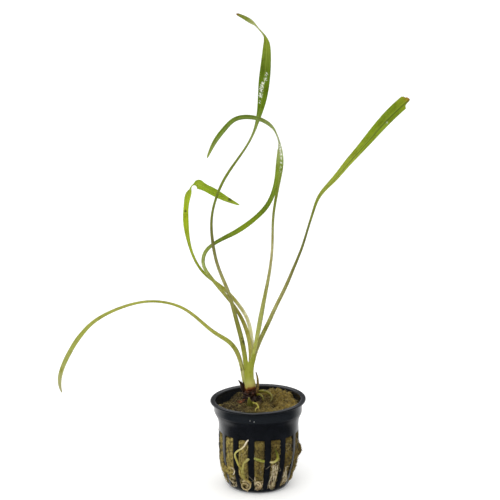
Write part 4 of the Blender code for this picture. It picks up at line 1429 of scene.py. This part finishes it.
pale_skin = plant_skin(
    "root skin, pale yellow-green", {0: "c4c284", 0.3: "b3ae5e", 1: "a59c58"}, mottle="b5a66c"
)
pale_keys = [
    (-14.4, 22.8), (-16, 22.2), (-19, 20.9), (-21.6, 18.8), (-22.8, 16.4), (-22.9, 13.6), (-22, 10.8),
]
mass_keys = [(-25.4, 15.8), (-24, 13.2), (-22, 10.4), (-20.4, 8.4)]
pale_routes = [wall_route(pale_keys, 0.76, 0.82), wall_route(mass_keys, 0.66, 0.85)]
belongs(stems("root_pale", pale_routes, pale_skin, wander=0.35, sides=12), "root", "pale_root")

low_skin = plant_skin("root skin, ochre", {0: "b9ac5c", 0.6: "b8a860", 1: "cbb77c"}, mottle="a8945c")
low_keys = [(-29.6, 16), (-28.6, 14), (-27, 12), (-23.4, 10.3), (-17.6, 9.2), (-14.2, 8.2), (-12.6, 6.4)]
belongs(
    stems("root_low", [wall_route(low_keys, 0.55, 0.62)], low_skin, wander=0.25, sides=12), "root", "low_root"
)

ring_skin = plant_skin("root skin, tan", {0: "ddcfa2", 0.5: "cbb988", 1: "d8c89c"}, mottle="937c50")
ring_keys = [
    (-27.4, 7.6), (-24, 8.4), (-19.4, 8.6), (-14.8, 7.6), (-12.9, 5.9), (-14.7, 3.9), (-20.2, 2.7), (-26, 3),
    (-28.5, 4.7), (-25.6, 6.6), (-20.4, 7), (-17.2, 5.9), (-19.4, 4.4), (-22.8, 4.4),
]
ring_routes = [
    wall_route(ring_keys, 0.5, 0.38),
    wall_route([(-24.8, 6.3), (-21.0, 6.6), (-18.8, 5.8), (-20.6, 5.0)], 0.4, 0.3),
    wall_route([(-19.6, 4.0), (-19.3, 2.2), (-19.9, 0.8)], 0.3, 0.2, sink=(0.0, -0.3)),
]
belongs(stems("root_ring", ring_routes, ring_skin, wander=0.4, grain=1.6), "root", "coiled_root")

green_skin = plant_skin(
    "shoot skin, fresh green", {0: "d6d684", 0.25: "bcc05c", 1: "9ca038"}, rough=0.36, mottle="8a9450"
)
stub_keys = [(-6.2, 23.8), (-4.4, 23.4), (0.2, 22.7), (5, 22), (8.4, 21.4)]
green_stub = stems(
    "stub_in_slot", [wall_route(stub_keys, 0.78, 0.72, sink=(-0.1, 1.6))], green_skin, wander=0.1, sides=12
)
belongs(green_stub, "shoot", "runner_stub")

side_skin = plant_skin(
    "shoot skin, olive to cream", {0: "3e4418", 0.22: "6c7218", 0.5: "98982c", 0.72: "bcb864", 1: "d6d0a0"},
    rough=0.38, mottle="a8a870",
)
side_keys = [
    (22.2, 29.4), (23.2, 28.3), (25.2, 26.4), (27.3, 24.2), (26.9, 22.3), (23.6, 21.1), (19.4, 20.7),
    (16.6, 20.7),
]
side_sizes = (0.18, 0.34, 0.58, 0.72, 0.76, 0.72, 0.62, 0.5)
side_route = [(*place, size) for (*place, _), size in zip(wall_route(side_keys, 0.3, 0.85), side_sizes)]
belongs(stems("shoot_in_slot", [side_route], side_skin, wander=0.1, sides=12), "shoot", "side_shoot")

# The root bundles: many thin whitish-tan roots packed in the lower ends of the slots, those right
# of the front hanging straight and the others wound about, with single root hairs across the ribs,
# which are drawn thicker than they are so that they show.

ROOT_STEP = 0.8


def wandering(chance, count, turns, heights, length, girth, curl, lifts=(-0.1, 0.5)):
    """Routes of thin roots that wind about in one slot, each bending steadily as it goes."""
    routes = []
    for _ in range(count):
        turn = chance.uniform(*turns)
        height = chance.uniform(*heights)
        heading = chance.uniform(0, math.tau)
        bend = chance.normal(0, curl)
        size = girth * chance.uniform(0.6, 1.3)
        steps = max(int(length * chance.uniform(0.6, 1.3) / ROOT_STEP), 4)
        base = chance.uniform(*lifts)
        route = []
        for k in range(steps):
            share = k / (steps - 1)
            sunk = 0.9 * max(abs(share - 0.5) * 2 - 0.7, 0.0) / 0.3
            place = on_wall(turn, height, size + base - sunk)
            if not route or math.dist(place, route[-1][:3]) > 0.3:
                route.append((*place, size * (1 - 0.45 * share)))
            heading += bend * ROOT_STEP + chance.normal(0, 0.12)
            turn += math.degrees(ROOT_STEP * math.cos(heading) / outside_radius(height))
            height += ROOT_STEP * math.sin(heading)
            if not turns[0] <= turn <= turns[1] or not heights[0] <= height <= heights[1]:
                heading += 0.9
                turn = min(max(turn, turns[0]), turns[1])
                height = min(max(height, heights[0]), heights[1])
        if len(route) > 2:
            routes.append(route)
    return routes


bundle_skin = plant_skin(
    "root skin, whitish tan", {0: "efe4c4", 0.5: "e6dab8", 1: "d8c8a0"}, rough=0.5, mottle="94805a", grain=0.4
)
HANGING = 10
chance = np.random.default_rng(21)
hanging_routes = []
for number in range(HANGING):
    across = (number + 0.5) / HANGING
    top = (19.2 + 11.0 * across, 19.8 - 1.2 * chance.uniform())
    middle = (18.4 + 10.8 * across + chance.normal(0, 1.3), 12.0)
    foot = (19.2 + 7.6 * across + chance.normal(0, 1.5), chance.uniform(2.8, 6.0))
    keys = [top, (0.5 * (top[0] + middle[0]) + chance.normal(0, 0.9), 15.6), middle]
    keys += [(0.5 * (middle[0] + foot[0]) + chance.normal(0, 1.4), 7.6), foot]
    size = chance.uniform(0.13, 0.27)
    layer = -0.3 + 0.3 * (number % 3)
    places = [on_wall(turn, height, size + layer) for turn, height in keys]
    hanging_routes.append([(*place, size * (1 - 0.1 * k)) for k, place in enumerate(places)])
hanging_routes += wandering(chance, 10, (18.6, 30.4), (2.8, 16.0), 6.0, 0.14, 0.4, lifts=(-0.1, 0.6))
hanging = stems("roots_hanging", hanging_routes, bundle_skin, wander=0.9, grain=2.2, sides=7)
belongs(hanging, "root", "hanging_root_left", "hanging_root_middle", "hanging_root_right")

tan_skin = plant_skin(
    "root skin, tan and matted", {0: "e8dab6", 0.5: "dcc9a2", 1: "c8b488"}, rough=0.5, mottle="846c46",
    grain=0.4,
)
front_keys = [
    (-5.4, 5.6), (-4.2, 7.6), (0, 8.2), (3.8, 6.8), (4.6, 4.8), (1.8, 3.4), (-2.2, 3.2), (-3.4, 4.8),
    (-0.4, 5.8),
]
front_routes = [
    wall_route(front_keys, 0.42, 0.34), wall_route([(-4.8, 12.0), (-5.2, 10.0), (-3.0, 8.6)], 0.3),
]
front_routes += wandering(chance, 14, (-6.0, 7.4), (2.8, 8.6), 5.0, 0.2, 0.6, lifts=(-0.4, 0.3))
front_routes.append(
    wall_route([(-2.8, 6.6), (-0.8, 6.9), (2.0, 6.0), (1.6, 4.7), (-0.6, 4.3), (-1.2, 5.4)], 0.44, 0.36)
)
belongs(stems("roots_front", front_routes, tan_skin, wander=0.4, grain=1.5, sides=7), "root", "front_root")

right_keys = [(42.6, 17), (44.4, 15), (43.4, 10.6), (44.6, 6.6), (47.8, 3.2)]
right_routes = [wall_route(right_keys, 0.24, 0.2)]
for turn, height, end_turn, end_height in (
    (50.4, 14, 46, 3.4), (52.6, 12.6, 50.4, 4), (46.8, 13, 42.6, 4.6), (54.4, 10, 53.2, 3.2),
    (41.8, 16.4, 55, 15),
):
    bow = (0.5 * (turn + end_turn) + chance.normal(0, 1.6), 0.5 * (height + end_height))
    right_routes.append(wall_route([(turn, height), bow, (end_turn, end_height)], chance.uniform(0.12, 0.22)))
right_routes += wandering(chance, 6, (42.0, 55.6), (2.6, 15.0), 7.0, 0.12, 0.35, lifts=(-0.2, 0.3))
belongs(stems("roots_right", right_routes, bundle_skin, wander=0.6, grain=1.8, sides=7), "root", "right_root")

left_routes = wandering(chance, 9, (-54.0, -40.4), (2.6, 10.0), 7.0, 0.18, 0.45)
left_routes += wandering(chance, 8, (-78.0, -64.0), (2.6, 11.0), 7.0, 0.18, 0.4)
loop_keys = [
    (-48.6, 14), (-46.1, 14.8), (-41.2, 15.4), (-38.4, 14), (-40, 12), (-45, 10.8), (-48, 11.8), (-47.4, 9.4),
]
left_routes.append(wall_route([*loop_keys, (-43.6, 8.6), (-39.8, 9.0)], 0.36, 0.26))
belongs(stems("roots_left", left_routes, bundle_skin, wander=0.4, grain=1.6, sides=7), "root")

behind_routes = []
for middle_turn in (97, 121, 145, 169, 193, 217, 241, 265):
    count = int(chance.integers(3, 11))
    behind_routes += wandering(
        chance, count, (middle_turn - 6.4, middle_turn + 6.4), (2.6, chance.uniform(8, 20)), 9.0, 0.3, 0.3
    )
belongs(stems("roots_behind", behind_routes, tan_skin, wander=0.5, grain=1.8, sides=6), "root")

hair_skin = plant_skin("root hair", {0: "b0a892", 1: "a0967e"}, rough=0.5, mottle="8c8268")
hair_keys = [
    [(8.9, 22), (8, 19.1), (4.9, 16.4), (1.3, 13.8)], [(10.4, 16.4), (14.4, 17.6), (18.3, 19.2)],
    [(-14.6, 11.8), (-10.8, 10.3), (-6.7, 8.7)], [(-5.9, 9.9), (-9.5, 8.7), (-13.9, 7.4)],
    [(30.2, 14), (35, 14.4), (31.4, 16.8)], [(3.6, 19.8), (2.8, 17), (3.4, 14.4)],
    [(-25.2, 23.4), (-26.8, 25.4), (-28.6, 24.4)],
]
hair_routes = [wall_route(keys, 0.085, 0.06, sink=(0.2, 0.3)) for keys in hair_keys]
for middle_turn in (-71, -47, -23, 1, 25, 49, 73):
    hair_routes += wandering(
        chance, 5, (middle_turn - 7.0, middle_turn + 7.0), (3.0, 30.0), 8.0, 0.08, 0.3, lifts=(0.2, 0.6)
    )
belongs(stems("root_hairs", hair_routes, hair_skin, wander=0.3, grain=1.5, sides=5), "root")

# The white specks: two small grains that cling to the collar in front, chalky and greyish white.

speck_skin = plant_skin("white speck", {0: "e8e8e4", 1: "d8d8d2"}, rough=0.6, mottle="d0ccc0")
SPECK_RADIUS = 25.35
speck_routes = []
for x, z in ((-4.6, 46.2), (-2.3, 45.7)):
    y = -math.sqrt(SPECK_RADIUS**2 - x**2) - 0.05
    speck_routes.append([(x - 0.12, y, z, 0.2), (x, y - 0.04, z + 0.08, 0.26), (x + 0.14, y, z + 0.1, 0.18)])
belongs(stems("white_specks", speck_routes, speck_skin, wander=0.1, grain=0.4, step=0.1), "root")

# The table, its light and the camera: a plain pale top under large soft lights, seen from the
# front and a little above through a long lens.

CAMERA_PLACE = (-0.0046, -0.9526, 0.355)
CAMERA_DOWN = 12.78
VIEW_ANGLE = 16.4035
SENSOR = 36.0
HALF_TABLE = 12.0

# How bright the sheets are by their place, from beside the plant to right behind it
SHEETS = ((0.0, 0.06), (0.15, 0.1), (0.24, 0.22), (0.4, 0.54), (0.6, 0.87), (0.8, 1.0), (1.0, 0.95))


def pale_table():
    """White laminate: matt and plain, with a faint painted glow of its own that lightens what shadow there
    is.
    """
    made, tree, shader, place = surface(
        "white laminate", Roughness=0.6, Specular_IOR_Level=0.2, Emission_Strength=0.18,
        Emission_Color="ffffff",
    )
    cloud = add(tree, "ShaderNodeTexNoise", {"Vector": place, "Scale": 1 / (250 * MM), "Detail": 3.0})
    tint = add(tree, "ShaderNodeValToRGB", {"Fac": cloud}, stops={0.3: "f4f4f3", 0.7: "f8f8f7"})
    feed(shader, {"Base Color": tint})
    return made


table_mesh = bpy.data.meshes.new("table_top")
corners = [(x * HALF_TABLE, y * HALF_TABLE, 0.0) for x, y in ((-1, -1), (1, -1), (1, 1), (-1, 1))]
table_mesh.from_pydata(corners, [], [(0, 1, 2, 3)])
table_mesh.materials.append(pale_table())
table_top = as_object("table_top", table_mesh)
table_top.visible_glossy = False


def soft_light(name, place, aim, width, height, watts):
    """A rectangular soft light that faces a place."""
    light = bpy.data.lights.new(name, "AREA")
    light.shape = "RECTANGLE"
    light.size = width
    light.size_y = height
    light.energy = watts
    made = bpy.data.objects.new(name, light)
    made.location = place
    made.rotation_euler = (Vector(aim) - Vector(place)).to_track_quat("-Z", "Y").to_euler()
    bpy.context.scene.collection.objects.link(made)


soft_light("front_panel", place=(-0.5, -1.3, 1.3), aim=(0, 0, 0.12), width=1.1, height=1.1, watts=9)


def light_room():
    """A dim room in front, bright sheets at the back left and right, and a white ceiling overhead."""
    world = bpy.data.worlds.new("studio")
    world.use_nodes = True
    tree = world.node_tree
    out = add(tree, "ShaderNodeTexCoord").outputs["Generated"]
    rise = add(tree, "ShaderNodeSeparateXYZ", {"Vector": out}).outputs["Z"]
    level = add(tree, "ShaderNodeVectorMath", {0: out, 1: (1.0, 1.0, 0.0)}, operation="MULTIPLY")
    heading = add(tree, "ShaderNodeVectorMath", {0: level}, operation="NORMALIZE")
    backwards = add(tree, "ShaderNodeSeparateXYZ", {"Vector": heading}).outputs["Y"]
    sideways = add(tree, "ShaderNodeSeparateXYZ", {"Vector": heading}).outputs["X"]
    leftward = add(tree, "ShaderNodeMath", {0: sideways, 1: -0.08, 2: backwards}, operation="MULTIPLY_ADD")
    greys = {place: (light, light, light, 1.0) for place, light in SHEETS}
    sheets = add(tree, "ShaderNodeValToRGB", {"Fac": leftward}, stops=greys)
    stronger = add(tree, "ShaderNodeMath", {0: sideways, 1: -0.27, 2: 1.32}, operation="MULTIPLY_ADD")
    bright = add(tree, "ShaderNodeMath", {0: sheets, 1: stronger}, operation="MULTIPLY")
    beneath = add(
        tree, "ShaderNodeMapRange",
        {"Value": rise, "From Min": -0.55, "From Max": -0.27, "To Min": 0.5, "To Max": 1.0},
    )
    low = add(tree, "ShaderNodeMath", {0: bright, 1: beneath}, operation="MULTIPLY")
    above = add(
        tree, "ShaderNodeMapRange", {"Value": rise, "From Min": 0.02, "From Max": 0.16},
        interpolation_type="SMOOTHSTEP",
    )
    backdrop = add(tree, "ShaderNodeMix", {"Factor": above, "A": low, "B": 0.15})
    overhead = add(
        tree, "ShaderNodeMapRange", {"Value": rise, "From Min": 0.38, "From Max": 0.7},
        interpolation_type="SMOOTHSTEP",
    )
    room = add(tree, "ShaderNodeMix", {"Factor": overhead, "A": backdrop, "B": 1.45})
    seen = add(tree, "ShaderNodeLightPath").outputs["Is Camera Ray"]
    strength = add(tree, "ShaderNodeMix", {"Factor": seen, "A": room, "B": 1.0})
    feed(tree.nodes["Background"], {"Color": "ffffff", "Strength": strength})
    return world


bpy.context.scene.world = light_room()
bpy.context.scene.view_settings.view_transform = "Standard"

camera = bpy.data.cameras.new("camera")
camera.sensor_width = SENSOR
camera.lens = SENSOR / 2 / math.tan(math.radians(VIEW_ANGLE / 2))
camera.clip_start = 0.05
camera.clip_end = 50.0
camera_object = bpy.data.objects.new("camera", camera)
camera_object.location = CAMERA_PLACE
camera_object.rotation_euler = (math.radians(90 - CAMERA_DOWN), 0.0, 0.0)
bpy.context.scene.collection.objects.link(camera_object)
bpy.context.scene.camera = camera_object
